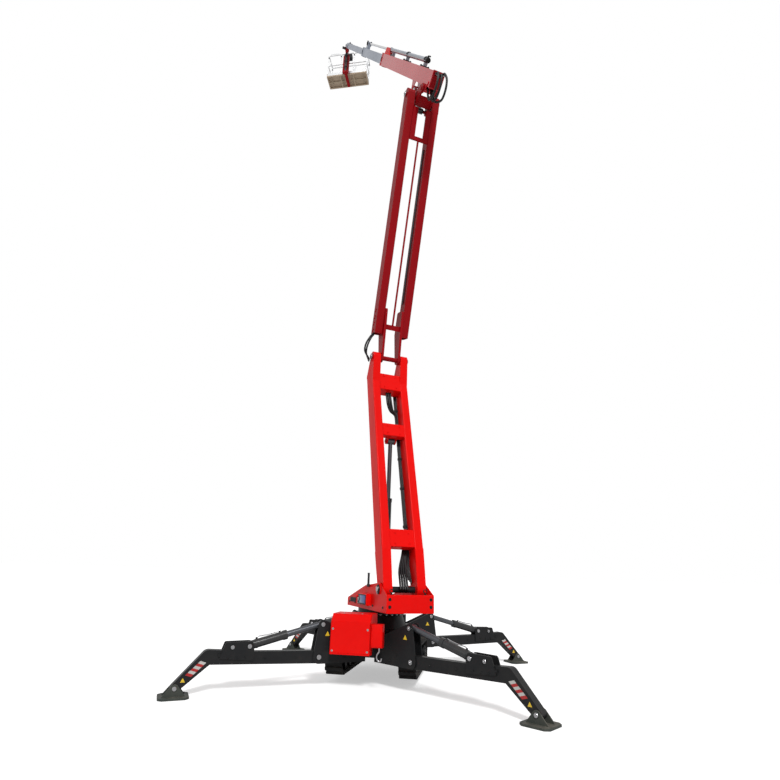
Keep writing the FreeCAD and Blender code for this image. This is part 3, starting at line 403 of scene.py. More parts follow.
class Coating:
    """A material under construction: its shader and what is laid on it."""

    def __init__(self, name: str) -> None:
        """Start the material.

        Args:
            name: Material's name.
        """
        self.material = bpy.data.materials.new(name)
        self.material.use_nodes = True
        self.tree = self.material.node_tree
        self.shader = self.tree.nodes["Principled BSDF"].inputs

    def lay(self, paint, rough, height, strength: float, distance: float) -> bpy.types.Material:
        """Link colour, roughness and relief to the shader.

        Args:
            paint: Socket of the colour.
            rough: Socket of the roughness.
            height: Socket of the relief's height.
            strength: Relief's strength.
            distance: Relief's depth, in metres.

        Returns:
            The material.
        """
        values = {"Strength": strength, "Distance": distance, "Height": height}
        bump = add_node(self.tree, "Bump", values)["Normal"]
        fill(self.tree, self.shader, {"Base Color": paint, "Roughness": rough, "Normal": bump})
        return self.material


@dataclass(frozen=True)
class Finish:
    """One surface finish and how it weathers."""

    name: str
    colour: Colour
    deep: Colour
    rough: float = 0.35
    rough_deep: float = 0.06
    rough_high: float = 0.04
    metallic: float = 0.0
    coat: float = 0.0
    coat_rough: float = 0.12
    shine: float = 0.5
    dust: float = 0.3
    dust_height: float = 1.2
    dust_rough: float = 0.4
    dust_colour: Colour = (0.3, 0.26, 0.21)
    scuff: float = 0.0
    scuff_rough: float = 0.25
    scuff_colour: Colour = (0.3, 0.3, 0.31)
    fade: float = 0.5
    texture: Texture = Texture.PEEL
    bump: float = 0.08
    bump_distance: float = 0.0006

    def make(self, shared: Shared) -> bpy.types.Material:
        """Build the material.

        Args:
            shared: The shader groups that it places.

        Returns:
            The material.
        """
        coating = Coating(self.name)
        tree = coating.tree
        fill(tree, coating.shader, {"Metallic": self.metallic, "Coat Weight": self.coat,
                                    "Coat Roughness": self.coat_rough, "Specular IOR Level": self.shine})
        fade = use_group(tree, shared.fade, Amount=self.fade)
        paint = mix_colour(tree, fade, self.deep, self.colour)
        rough = ramp(tree, fade, 0.0, 1.0, self.rough + self.rough_deep, self.rough - self.rough_high)
        if self.scuff > 0:
            mask = use_group(tree, shared.scuff, Amount=self.scuff)
            paint = mix_colour(tree, mask, paint, self.scuff_colour)
            rough = math_node(tree, "ADD", rough, math_node(tree, "MULTIPLY", mask, self.scuff_rough))
        if self.dust > 0:
            mask = use_group(tree, shared.dust, Amount=self.dust, Height=self.dust_height)
            paint = mix_colour(tree, mask, paint, self.dust_colour)
            matt = math_node(tree, "MULTIPLY", mask, self.dust_rough)
            rough = math_node(tree, "ADD", rough, matt, clamp=True)
        relief = use_group(tree, shared.relief[self.texture], Scale=1.0)
        return coating.lay(paint, rough, relief, self.bump, self.bump_distance)


@dataclass(frozen=True)
class BoardFinish:
    """Tan floor board with grain along its length."""

    name: str = "floor_board"
    light: Colour = (0.46, 0.36, 0.26)
    dark: Colour = (0.3, 0.22, 0.15)
    grain_scale: Vec3 = (14.0, 1.2, 14.0)
    dust: float = 0.5
    dust_height: float = 60.0
    dust_colour: Colour = (0.36, 0.33, 0.29)
    bump: float = 0.25
    bump_distance: float = 0.001

    def make(self, shared: Shared) -> bpy.types.Material:
        """Build the material.

        Args:
            shared: The shader groups that it places.

        Returns:
            The material.
        """
        coating = Coating(self.name)
        tree = coating.tree
        grain = ramp(tree, noise(tree, coordinates(tree, self.grain_scale), 3.0, 7.0, 0.65), 0.3, 0.7)
        dust = use_group(tree, shared.dust, Amount=self.dust, Height=self.dust_height)
        paint = mix_colour(tree, dust, mix_colour(tree, grain, self.dark, self.light), self.dust_colour)
        rough = ramp(tree, grain, 0.0, 1.0, 0.72, 0.58)
        return coating.lay(paint, rough, grain, self.bump, self.bump_distance)


class Palette:
    """Every finish of the machine, built once."""

    RECIPES = (
        Finish("red_paint", (0.74, 0.003, 0.002), (0.6, 0.002, 0.001), rough=0.36, coat=0.03, shine=0.08,
               dust=0.05, scuff=0.35, scuff_colour=(0.4, 0.012, 0.012)),
        # Painted shade: the same red as red_paint, darkened to stand in for the shade on the upper arm, its
        # pins and brackets, and the basket's mast.
        Finish("dark_red_paint", (0.29, 0.001, 0.005), (0.2, 0.001, 0.003), rough=0.4, coat=0.03,
               shine=0.1, dust=0.03, scuff=0.3, scuff_colour=(0.24, 0.012, 0.015)),
        Finish("boom_red_paint", (0.6, 0.01, 0.022), (0.46, 0.006, 0.012), rough=0.26, coat=0.3,
               shine=0.4, dust=0.04, scuff=0.2, scuff_colour=(0.36, 0.04, 0.05)),
        Finish("black_paint", (0.013, 0.0135, 0.015), (0.008, 0.0085, 0.009), rough=0.4, coat=0.05,
               shine=0.14, dust=0.13, scuff=0.5, scuff_colour=(0.05, 0.05, 0.052)),
        Finish("ram_black", (0.016, 0.017, 0.019), (0.01, 0.011, 0.012), rough=0.27, coat=0.25, shine=0.4,
               dust=0.15, scuff=0.3, scuff_colour=(0.05, 0.05, 0.055)),
        Finish("pad_paint", (0.035, 0.044, 0.039), (0.02, 0.026, 0.023), rough=0.55, shine=0.25, dust=0.55,
               scuff=0.9, scuff_colour=(0.12, 0.12, 0.11)),
        Finish("track_rubber", (0.012, 0.012, 0.0125), (0.008, 0.008, 0.0085), rough=0.72, shine=0.2,
               dust=0.4, scuff=0.4, scuff_colour=(0.03, 0.03, 0.03)),
        Finish("boom_steel", (0.36, 0.4, 0.47), (0.27, 0.3, 0.36), rough=0.34, metallic=0.35, dust=0.05,
               scuff=0.3, scuff_colour=(0.5, 0.5, 0.5), texture=Texture.BRUSHED),
        Finish("telescope_grey", (0.3, 0.33, 0.38), (0.22, 0.24, 0.28), rough=0.3, metallic=0.3, dust=0.05,
               scuff=0.2),
        Finish("pin_steel", (0.46, 0.46, 0.47), (0.34, 0.34, 0.35), rough=0.28, metallic=1.0, dust=0.12,
               texture=Texture.BRUSHED, bump=0.12),
        Finish("chrome_rod", (0.82, 0.82, 0.83), (0.74, 0.74, 0.75), rough=0.09, metallic=1.0, dust=0.04,
               fade=0.3, texture=Texture.BRUSHED, bump=0.03),
        Finish("rod_dark", (0.1, 0.105, 0.115), (0.07, 0.075, 0.085), rough=0.28, metallic=0.7, dust=0.1,
               texture=Texture.BRUSHED, bump=0.05),
        Finish("alloy_tube", (0.8, 0.81, 0.82), (0.68, 0.69, 0.7), rough=0.4, metallic=0.25, dust=0.05,
               texture=Texture.BRUSHED, bump=0.1),
        Finish("engine_iron", (0.05, 0.05, 0.055), (0.03, 0.03, 0.032), rough=0.6, dust=0.4,
               texture=Texture.CAST, bump=0.4),
        Finish("casing_grey", (0.022, 0.023, 0.026), (0.015, 0.016, 0.018), rough=0.5, shine=0.25, dust=0.12,
               texture=Texture.MOULDED, bump=0.3),
        Finish("hose_rubber", (0.01, 0.01, 0.011), (0.006, 0.006, 0.007), rough=0.45, shine=0.3, dust=0.06,
               texture=Texture.MOULDED, bump=0.3),
        # Painted shade: the warning yellow and the stripes' white and red below are darkened from their true
        # paint to stand in for the shade they sit in; the panel keys share the darkened white.
        Finish("warning_yellow", (0.66, 0.45, 0.02), (0.56, 0.37, 0.015), rough=0.4, dust=0.15),
        Finish("stripe_white", (0.46, 0.45, 0.43), (0.38, 0.37, 0.35), rough=0.3, dust=0.15),
        Finish("stripe_red", (0.36, 0.01, 0.01), (0.3, 0.008, 0.008), rough=0.3, dust=0.15),
        Finish("screen_blue", (0.035, 0.1, 0.34), (0.03, 0.07, 0.25), rough=0.15, dust=0.05),
        Finish("tray_brown", (0.42, 0.34, 0.24), (0.33, 0.26, 0.18), rough=0.6, dust=0.2),
        BoardFinish(),
    )

    def __init__(self) -> None:
        """Build the shared groups and then each material."""
        shared = Shared()
        self.made = {recipe.name: recipe.make(shared) for recipe in self.RECIPES}

    def __getitem__(self, name: str) -> bpy.types.Material:
        """Material of that name."""
        return self.made[name]


NODE_FINISH = {
    "black_paint": ("track_carriage", "chassis_frame", "pedestal", "slew_ring", "oil_tank", "leg_",
                    "arm_pin"),
    "track_rubber": ("track_",),
    "engine_iron": ("engine_block",),
    "red_paint": ("engine_cover", "side_box", "control_cabinet", "turret_", "lower_"),
    "ram_black": ("leg_barrel", "lift_barrel", "boom_barrel"),
    "rod_dark": ("leg_rod", "lift_rod"),
    "chrome_rod": ("boom_rod", "telescope_rod"),
    "pad_paint": ("pad_",),
    # Painted shade: these parts have the lower arm's red, darkened in colour for the shade they sit in.
    "dark_red_paint": ("elbow_pin", "upper_", "service_tube", "head_bracket", "level_bracket",
                       "basket_mast"),
    "telescope_grey": ("telescope_barrel",),
    "boom_red_paint": ("boom_outer",),
    "boom_steel": ("boom_",),
    "casing_grey": ("basket_console",),
    "floor_board": ("basket_floor",),
    "alloy_tube": ("basket_",),
}


def finish_of(name: str) -> str:
    """Finish of a CAD node: that of the longest beginning that its name has.

    Args:
        name: Node's name.

    Returns:
        The finish's name.
    """
    fits = [(len(start), finish) for finish, starts in NODE_FINISH.items()
            for start in starts if name.startswith(start)]
    if not fits:
        raise ValueError("no finish for node " + name)
    return max(fits)[1]


def dress_nodes(frame: dict, palette: Palette) -> None:
    """Give every CAD node its finish.

    Args:
        palette: The finishes.
    """
    for name, node in frame["nodes"].items():
        finish = finish_of(name)
        node.data.materials.clear()
        node.data.materials.append(palette[finish])
        LOG.info("node %s in %s", name, finish)


def turns(count: int, start: float = 0.0) -> list[float]:
    """Angles of even places round a circle, the first one after a part of a step."""
    return [math.tau * (k + start) / count for k in range(count)]


def round_y(x: float, y: float, z: float, radius: float, angle: float) -> Vec3:
    """Point on a circle round an axis along y."""
    return x + radius * math.cos(angle), y, z + radius * math.sin(angle)


def aimed(at: Vec3, axis: Vec3) -> Matrix:
    """Matrix that sets local Z on a point, along an axis."""
    turn = Vector(UP).rotation_difference(Vector(axis)).to_matrix().to_4x4()
    return Matrix.Translation(at) @ turn


def letter(side: int) -> str:
    """End of a name for a piece on the left or the right of its part."""
    return "_a" if side > 0 else "_b"


class Forge:
    """Makes solid meshes piece by piece and sets each on the body it rides."""

    SMOOTH_BELOW = 40.0
    BEVEL_SHARE, BEVEL_PROFILE, BEVEL_STEPS = 0.3, 0.6, 2
    WASHER_HEIGHT, WASHER_RADIUS, WASHER_SIDES = 0.14, 0.95, 20
    HEAD_SIDE, HEAD_TOP, HEAD_RIM = 0.32, 0.4, 0.86
    NEARLY_ALONG = 0.95
    # The yellow field's finish is darkened as painted shade.
    WARNING = (("edge", 0.62, 0.001, "black_paint"), ("field", 0.4836, 0.0016, "warning_yellow"))

    def __init__(self, palette: Palette) -> None:
        """Keep the finishes.

        Args:
            palette: The machine's finishes.
        """
        self.palette = palette
        self.mesh = bmesh.new()
        self.body = ""
        self.place: Matrix | None = None

    def on(self, body: str, place: Matrix | None = None) -> "Forge":
        """Choose where the next pieces go.

        Args:
            body: CAD body they ride.
            place: Where their own drawing lies on the machine.

        Returns:
            This forge.
        """
        self.body, self.place = body, place
        return self

    def box(self, low: Vec3, high: Vec3, bevel: float = 0.002) -> None:
        """Add a box with softened edges.

        Args:
            low: Lowest corner.
            high: Highest corner.
            bevel: Width of its chamfers.
        """
        size, middle = Vector(high) - Vector(low), (Vector(high) + Vector(low)) / 2
        matrix = Matrix.Translation(middle) @ Matrix.Diagonal((*size, 1))
        made = bmesh.ops.create_cube(self.mesh, size=1.0, matrix=matrix)
        edges = {e for v in made["verts"] for e in v.link_edges}
        offset = min(bevel, min(size) * self.BEVEL_SHARE)
        bmesh.ops.bevel(self.mesh, geom=list(edges), offset=offset, segments=self.BEVEL_STEPS,
                        affect="EDGES", profile=self.BEVEL_PROFILE)

    def rod(self, start: Vec3, end: Vec3, radius: float, sides: int = 24, chamfer: float = 0.0,
            bore: float = 0.0) -> None:
        """Add a round bar.

        Args:
            start: Middle of its first end.
            end: Middle of its last end.
            radius: Its radius.
            sides: Facets round it.
            chamfer: Width of the chamfer at both rims.
            bore: Radius of the hole along it, 0 for none.
        """
        axis = Vector(end) - Vector(start)
        rings = [(0.0, radius), (axis.length, radius)]
        if chamfer > 0:
            rings = [(0.0, radius - chamfer), (chamfer, radius),
                     (axis.length - chamfer, radius), (axis.length, radius - chamfer)]
        self.lathe(rings, aimed(start, axis), sides, bore)

    def cap(self, at: Vec2, face: float, side: int, depth: float, radius: float,
            sides: int = 28, chamfer: float = 0.003) -> None:
        """Add a round cap on a face that looks along y.

        Args:
            at: Its middle as x and z.
            face: Distance of the face from the middle plane.
            side: Which way it looks, 1 or -1.
            depth: Cap's thickness.
            radius: Its radius.
            sides: Facets round it.
            chamfer: Width of the chamfer at both rims.
        """
        x, z = at
        self.rod((x, side * face, z), (x, side * (face + depth), z), radius, sides, chamfer)

    def skin(self, loops: list[list], closed: bool) -> None:
        """Join rings of corners with faces.

        Args:
            loops: The rings, each with as many corners.
            closed: Whether the last one joins the first one; else both ends are capped.
        """
        sides = len(loops[0])
        for low, high in zip(loops, loops[1:] + loops[:1] if closed else loops[1:]):
            for k in range(sides):
                j = (k + 1) % sides
                self.mesh.faces.new((low[k], low[j], high[j], high[k]))
        if not closed:
            self.mesh.faces.new(list(reversed(loops[0])))
            self.mesh.faces.new(loops[-1])

    def lathe(self, rings: Sequence[Vec2], matrix: Matrix, sides: int = 24,
              bore: float = 0.0) -> None:
        """Add a turned solid.

        Args:
            rings: Heights and radii from one end to the other.
            matrix: Where its axis, local Z, lies.
            sides: Facets round it.
            bore: Radius of the hole along it, 0 for none.
        """
        if bore > 0:
            rings = [*rings, (rings[-1][0], bore), (rings[0][0], bore)]
        new = self.mesh.verts.new
        self.skin([[new(matrix @ Vector((r * math.cos(a), r * math.sin(a), h))) for a in turns(sides)]
                   for h, r in rings], bore > 0)

    def plate(self, outline: Sequence[Vec2], y0: float, y1: float) -> None:
        """Add a plate whose outline lies in the XZ plane.

        Args:
            outline: Its corners as x and z.
            y0: One face.
            y1: The other face.
        """
        self.skin([[self.mesh.verts.new((x, y, z)) for x, z in outline] for y in (y0, y1)], False)

    def bolt(self, at: Vec3, axis: Vec3, size: float, washer: bool = True) -> None:
        """Add a hexagon bolt head on its washer.

        Args:
            at: Where it sits.
            axis: Which way its head stands.
            size: Width across its corners.
            washer: Whether it has one.
        """
        matrix = aimed(at, axis)
        base, radius = 0.0, size / 2
        if washer:
            base, rim = size * self.WASHER_HEIGHT, size * self.WASHER_RADIUS
            self.lathe(((0.0, rim), (base, rim)), matrix, self.WASHER_SIDES)
        head = ((base, radius), (base + size * self.HEAD_SIDE, radius),
                (base + size * self.HEAD_TOP, radius * self.HEAD_RIM))
        self.lathe(head, matrix, 6)

    def bolts(self, places: Sequence[Vec3], axis: Vec3, size: float, washer: bool = True) -> None:
        """Add a bolt head at each place, otherwise as bolt does."""
        for at in places:
            self.bolt(at, axis, size, washer)

    def tube(self, points: Sequence[Vec3], radius: float, sides: int = 12) -> None:
        """Add a bent tube through points, smoothed between them.

        Args:
            points: Its route.
            radius: Its radius.
            sides: Facets round it.
        """
        path = smooth_route([Vector(p) for p in points])
        loops = []
        side = Vector(UP)
        for k, here in enumerate(path):
            ahead = (path[min(k + 1, len(path) - 1)] - path[max(k - 1, 0)]).normalized()
            if abs(side.dot(ahead)) > self.NEARLY_ALONG:
                side = ahead.orthogonal()
            side = (side - ahead * side.dot(ahead)).normalized()
            other = ahead.cross(side)
            loops.append([self.mesh.verts.new(here + radius * (math.cos(a) * side + math.sin(a) * other))
                          for a in turns(sides)])
        self.skin(loops, False)

    def warning(self, at: Vec2, size: float, face: float, side: int, name: str) -> None:
        """Plain warning triangle: a black edge round a yellow field darkened as painted shade, without any
        sign.

        Args:
            at: Its middle as x and z.
            size: Its height.
            face: Distance of the face it lies on from the middle plane.
            side: Which way it looks, 1 or -1.
            name: Middle of its name.
        """
        for part, scale, lift, finish in self.WARNING:
            radius = size * scale
            corners = [(at[0] + radius * math.cos(a), at[1] + radius * math.sin(a)) for a in turns(3, 0.75)]
            self.plate(corners, side * face, side * (face + lift))
            self.done("warning_" + part + "_" + name + letter(side), finish)

    def done(self, name: str, finish: str) -> None:
        """Turn what was added into one piece of the machine.

        Args:
            name: Piece's name.
            finish: Its finish.
        """
        body = self.body
        if self.place is not None:
            bmesh.ops.transform(self.mesh, matrix=self.place, verts=self.mesh.verts)
        bmesh.ops.recalc_face_normals(self.mesh, faces=self.mesh.faces)
        data = bpy.data.meshes.new(name)
        self.mesh.to_mesh(data)
        self.mesh.free()
        self.mesh = bmesh.new()
        data.materials.append(self.palette[finish])
        piece = bpy.data.objects.new(name, data)
        bpy.context.scene.collection.objects.link(piece)
        data.shade_smooth()
        data.set_sharp_from_angle(angle=math.radians(self.SMOOTH_BELOW))
        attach(piece, body)
        LOG.info("piece %s on %s", name, body)


def smooth_route(points: Sequence[Vector], steps: int = 6) -> list[Vector]:
    """Catmull and Rom curve through points.

    Args:
        points: The route's points.
        steps: Divisions between two of them.

    Returns:
        Points along the curve.
    """
    out = []
    last = len(points) - 1
    for k in range(last):
        p0, p1, p2, p3 = points[max(k - 1, 0)], points[k], points[k + 1], points[min(k + 2, last)]
        for t in (n / steps for n in range(steps)):
            out.append(0.5 * ((2 * p1) + (p2 - p0) * t + (2 * p0 - 5 * p1 + 4 * p2 - p3) * t * t
                              + (3 * p1 - p0 - 3 * p2 + p3) * t ** 3))
    out.append(points[-1])
    return out


@dataclass
class Undercarriage:
    """Hub bolts, sprocket rollers, ring bolts and small fittings of the tracked base."""

    forge: Forge
    gauge: float = 0.98
    reach: float = 0.565
    centre: float = 0.281
    hub_out: float = 0.075
    roller_circle: float = 0.118
    roller_half: float = 0.036
    ring_circle: float = 0.321
    ring_low: float = 0.825
    horn_plate: float = 0.019
    cover_front: float = -1.15
    cover_top: float = 0.872
    hook: float = -1.105

    def hubs(self) -> None:
        """Hub caps with bolts at both ends of both tracks, and the sprockets' rollers."""
        forge = self.forge.on("chassis")
        for side in Side:
            s, z = side.value, self.centre
            out = s * (self.gauge / 2 + self.hub_out)
            for x in (-self.reach, self.reach):
                forge.rod((x, out - s * 0.02, z), (x, out + s * 0.018, z), 0.078, 36, 0.004)
                forge.bolts([round_y(x, out + s * 0.018, z, 0.06, a) for a in turns(8)], (0, s, 0), 0.016)
                forge.rod((x, out, z), (x, out + s * 0.03, z), 0.03, 24, 0.003)
            forge.done("track_hubs_" + side.name.lower(), "black_paint")
            for a in turns(9):
                at = round_y(-self.reach, s * self.gauge / 2, z, self.roller_circle, a)
                half = self.roller_half
                forge.rod((at[0], at[1] - half, at[2]), (at[0], at[1] + half, at[2]), 0.017, 12)
            forge.done("sprocket_rollers_" + side.name.lower(), "pin_steel")

    def ring(self) -> None:
        """Bolts under the slewing ring."""
        forge, r = self.forge.on("chassis"), self.ring_circle
        spots = [(r * math.cos(a), r * math.sin(a), self.ring_low) for a in turns(24, 0.5)]
        forge.bolts(spots, DOWN, 0.024)
        forge.done("slew_ring_bolts", "pin_steel")

    def engine_end(self) -> None:
        """Screws, bead, hinges and vents of the engine cover, its box's door and the towing hook."""
        forge, front = self.forge.on("chassis"), self.cover_front
        forge.bolts([(front, y, z) for y in (-0.045, 0.405) for z in (0.45, 0.7)], BEHIND, 0.014)
        forge.bolts([(-1.02, y, self.cover_top) for y in (0.06, 0.3)], UP, 0.014)
        forge.done("cover_screws", "pin_steel")
        forge.box((front - 0.006, -0.052, 0.428), (front + 0.0005, 0.412, 0.44))
        forge.done("cover_bead", "red_paint")
        for z in (0.5, 0.66):
            forge.box((-1.1, 0.44, z - 0.03), (-1.03, 0.45, z + 0.03), 0.003)
            forge.rod((-1.035, 0.449, z - 0.034), (-1.035, 0.449, z + 0.034), 0.007, 14)
        forge.done("cover_hinges", "black_paint")
        for k in range(7):
            z = 0.48 + 0.032 * k
            forge.plate(((-1.06, z), (-0.999, z), (-0.999, z + 0.01), (-1.052, z + 0.022)), 0.4385, 0.449)
        forge.done("cover_vents", "red_paint")
        for z in (0.54, 0.72):
            forge.box((-1.131, -0.1, z - 0.022), (-1.1245, -0.088, z + 0.022))
            forge.bolt((-1.131, -0.094, z), BEHIND, 0.01, False)
        forge.box((-1.129, -0.222, 0.512), (-1.1245, -0.108, 0.751), 0.003)
        forge.done("side_box_door", "red_paint")
        forge.rod((self.hook, -0.19, 0.499), (self.hook, -0.19, 0.455), 0.012, 16)
        bend = ((-0.19, 0.455), (-0.165, 0.425), (-0.162, 0.385), (-0.185, 0.352), (-0.214, 0.36),
                (-0.222, 0.388))
        forge.tube([(self.hook, y, z) for y, z in bend], 0.01)
        forge.done("tow_hook", "pin_steel")

    def horns(self) -> None:
        """Pin caps, bolts and a warning triangle on each corner's horn."""
        for leg in map(Outrigger, Corner):
            forge = self.forge.on("chassis", leg.matrix())
            face = leg.half + self.horn_plate
            for s in BOTH:
                for (x, z), radius in ((leg.pivot, 0.028), (leg.eye, 0.026)):
                    forge.cap((x, z), face, s, 0.014, radius, 28, 0.002)
                    forge.bolt((x, s * (face + 0.014), z), (0, s, 0), 0.022)
            forge.done("horn_pins_" + leg.key, "pin_steel")
            for s in BOTH:
                spots = ((-0.02, 0.34), (-0.02, 0.5), (0.1, 0.42))
                forge.bolts([(x, s * face, z) for x, z in spots], (0, s, 0), 0.02)
            forge.done("horn_bolts_" + leg.key, "black_paint")
            for s in BOTH:
                forge.warning((0.235, 0.62), 0.075, face, s, "corner_" + leg.key)

    def build(self) -> None:
        """Make every fitting of the base."""
        self.hubs()
        self.ring()
        self.engine_end()
        self.horns()


@dataclass
class OutriggerFittings:
    """Stripes, pins and pipes of one outrigger."""

    forge: Forge
    leg: Outrigger
    lug_plate: float = 0.014
    barrel: float = 0.05
    foot_plate: float = 0.019
    weld_ring: Vec2 = (0.075, 0.098)
    ports: Vec2 = (0.1, 0.385)
    stripe_start: float = 0.045
    stripe_step: float = 0.034
    stripe_edges: Vec2 = (-0.032, 0.028)
    stripe_film: float = 0.0012
    mark_at: float = 0.335

    def stripes(self) -> None:
        """Slanted red and white hazard bands and a warning triangle on both sides of the shank, their
        colours darkened as painted shade.
        """
        leg, step = self.leg, self.stripe_step
        knee = upright(leg.knee)
        along = (upright((leg.reach(), leg.foot_height)) - knee).normalized()
        normal = Vector((-along.z, 0, along.x))
        forge = self.forge.on("leg_" + leg.key, leg.matrix())
        for s in BOTH:
            y = s * leg.half
            for k in range(6):
                a = self.stripe_start + step * k
                low, high = self.stripe_edges
                band = ((a, low), (a + step, low), (a + 2 * step, high), (a + step, high))
                corners = [knee + along * d + normal * n for d, n in band]
                forge.plate([(p.x, p.z) for p in corners], y, y + s * self.stripe_film)
                # The bands' white and red are darkened as painted shade.
                forge.done("stripe_" + leg.key + letter(s) + str(k), ("stripe_white", "stripe_red")[k % 2])
            mark = knee + along * self.mark_at
            forge.warning((mark.x, mark.z), 0.062, leg.half, s, "shank_" + leg.key)

    def pins(self) -> None:
        """Bright pin ends at the cylinder's lugs and the foot, and the bolts of leg and lugs."""
        leg = self.leg
        forge = self.forge.on("leg_" + leg.key, leg.matrix())
        face = leg.half + self.lug_plate
        for s in BOTH:
            for x, z, radius in ((*leg.lug, 0.025), (1.4, 0.5, 0.022)):
                forge.cap((x, z), face, s, 0.016, radius)
                forge.bolt((x, s * (face + 0.016), z), (0, s, 0), 0.02, False)
            forge.cap((leg.reach(), leg.foot_height), leg.half + self.foot_plate, s, 0.013, 0.024, 24)
        forge.done("leg_pins_" + leg.key, "pin_steel")
        for s in BOTH:
            spots = ((1.24, 0.39), (1.34, 0.385), (1.44, 0.39), (1.54, 0.42), (0.62, 0.36), (1.0, 0.37))
            forge.bolts([(x, s * (face if x > 1.2 else leg.half), z) for x, z in spots], (0, s, 0), 0.018)
        forge.done("leg_bolts_" + leg.key, "black_paint")

    def cylinder(self) -> None:
        """Weld ring, ports and the rigid pipe along the cylinder's barrel."""
        leg = self.leg
        forge = self.forge.on("leg_barrel_" + leg.key, leg.matrix())
        start = upright(leg.lug)
        along = (upright(leg.eye) - start).normalized()
        up = Vector((along.z, 0, -along.x))
        up = up if up.z > 0 else -up
        near, far = (start + along * d for d in self.weld_ring)
        forge.rod(near, far, self.barrel + 0.004, 36, 0.002, self.barrel - 0.001)
        for d in self.ports:
            port = start + along * d + up * (self.barrel - 0.004)
            forge.rod(port, port + up * 0.022, 0.013, 16, 0.002)
        forge.done("cylinder_ports_" + leg.key, "ram_black")
        first, last = self.ports
        route = ((first, 0.016), (0.13, 0.022), (0.24, 0.012), (0.34, 0.012), (last, 0.016))
        forge.tube([start + along * d + up * (self.barrel + n) for d, n in route], 0.006, 10)
        forge.done("cylinder_pipe_" + leg.key, "pin_steel")

    def build(self) -> None:
        """Make every fitting of the outrigger."""
        self.stripes()
        self.pins()
        self.cylinder()


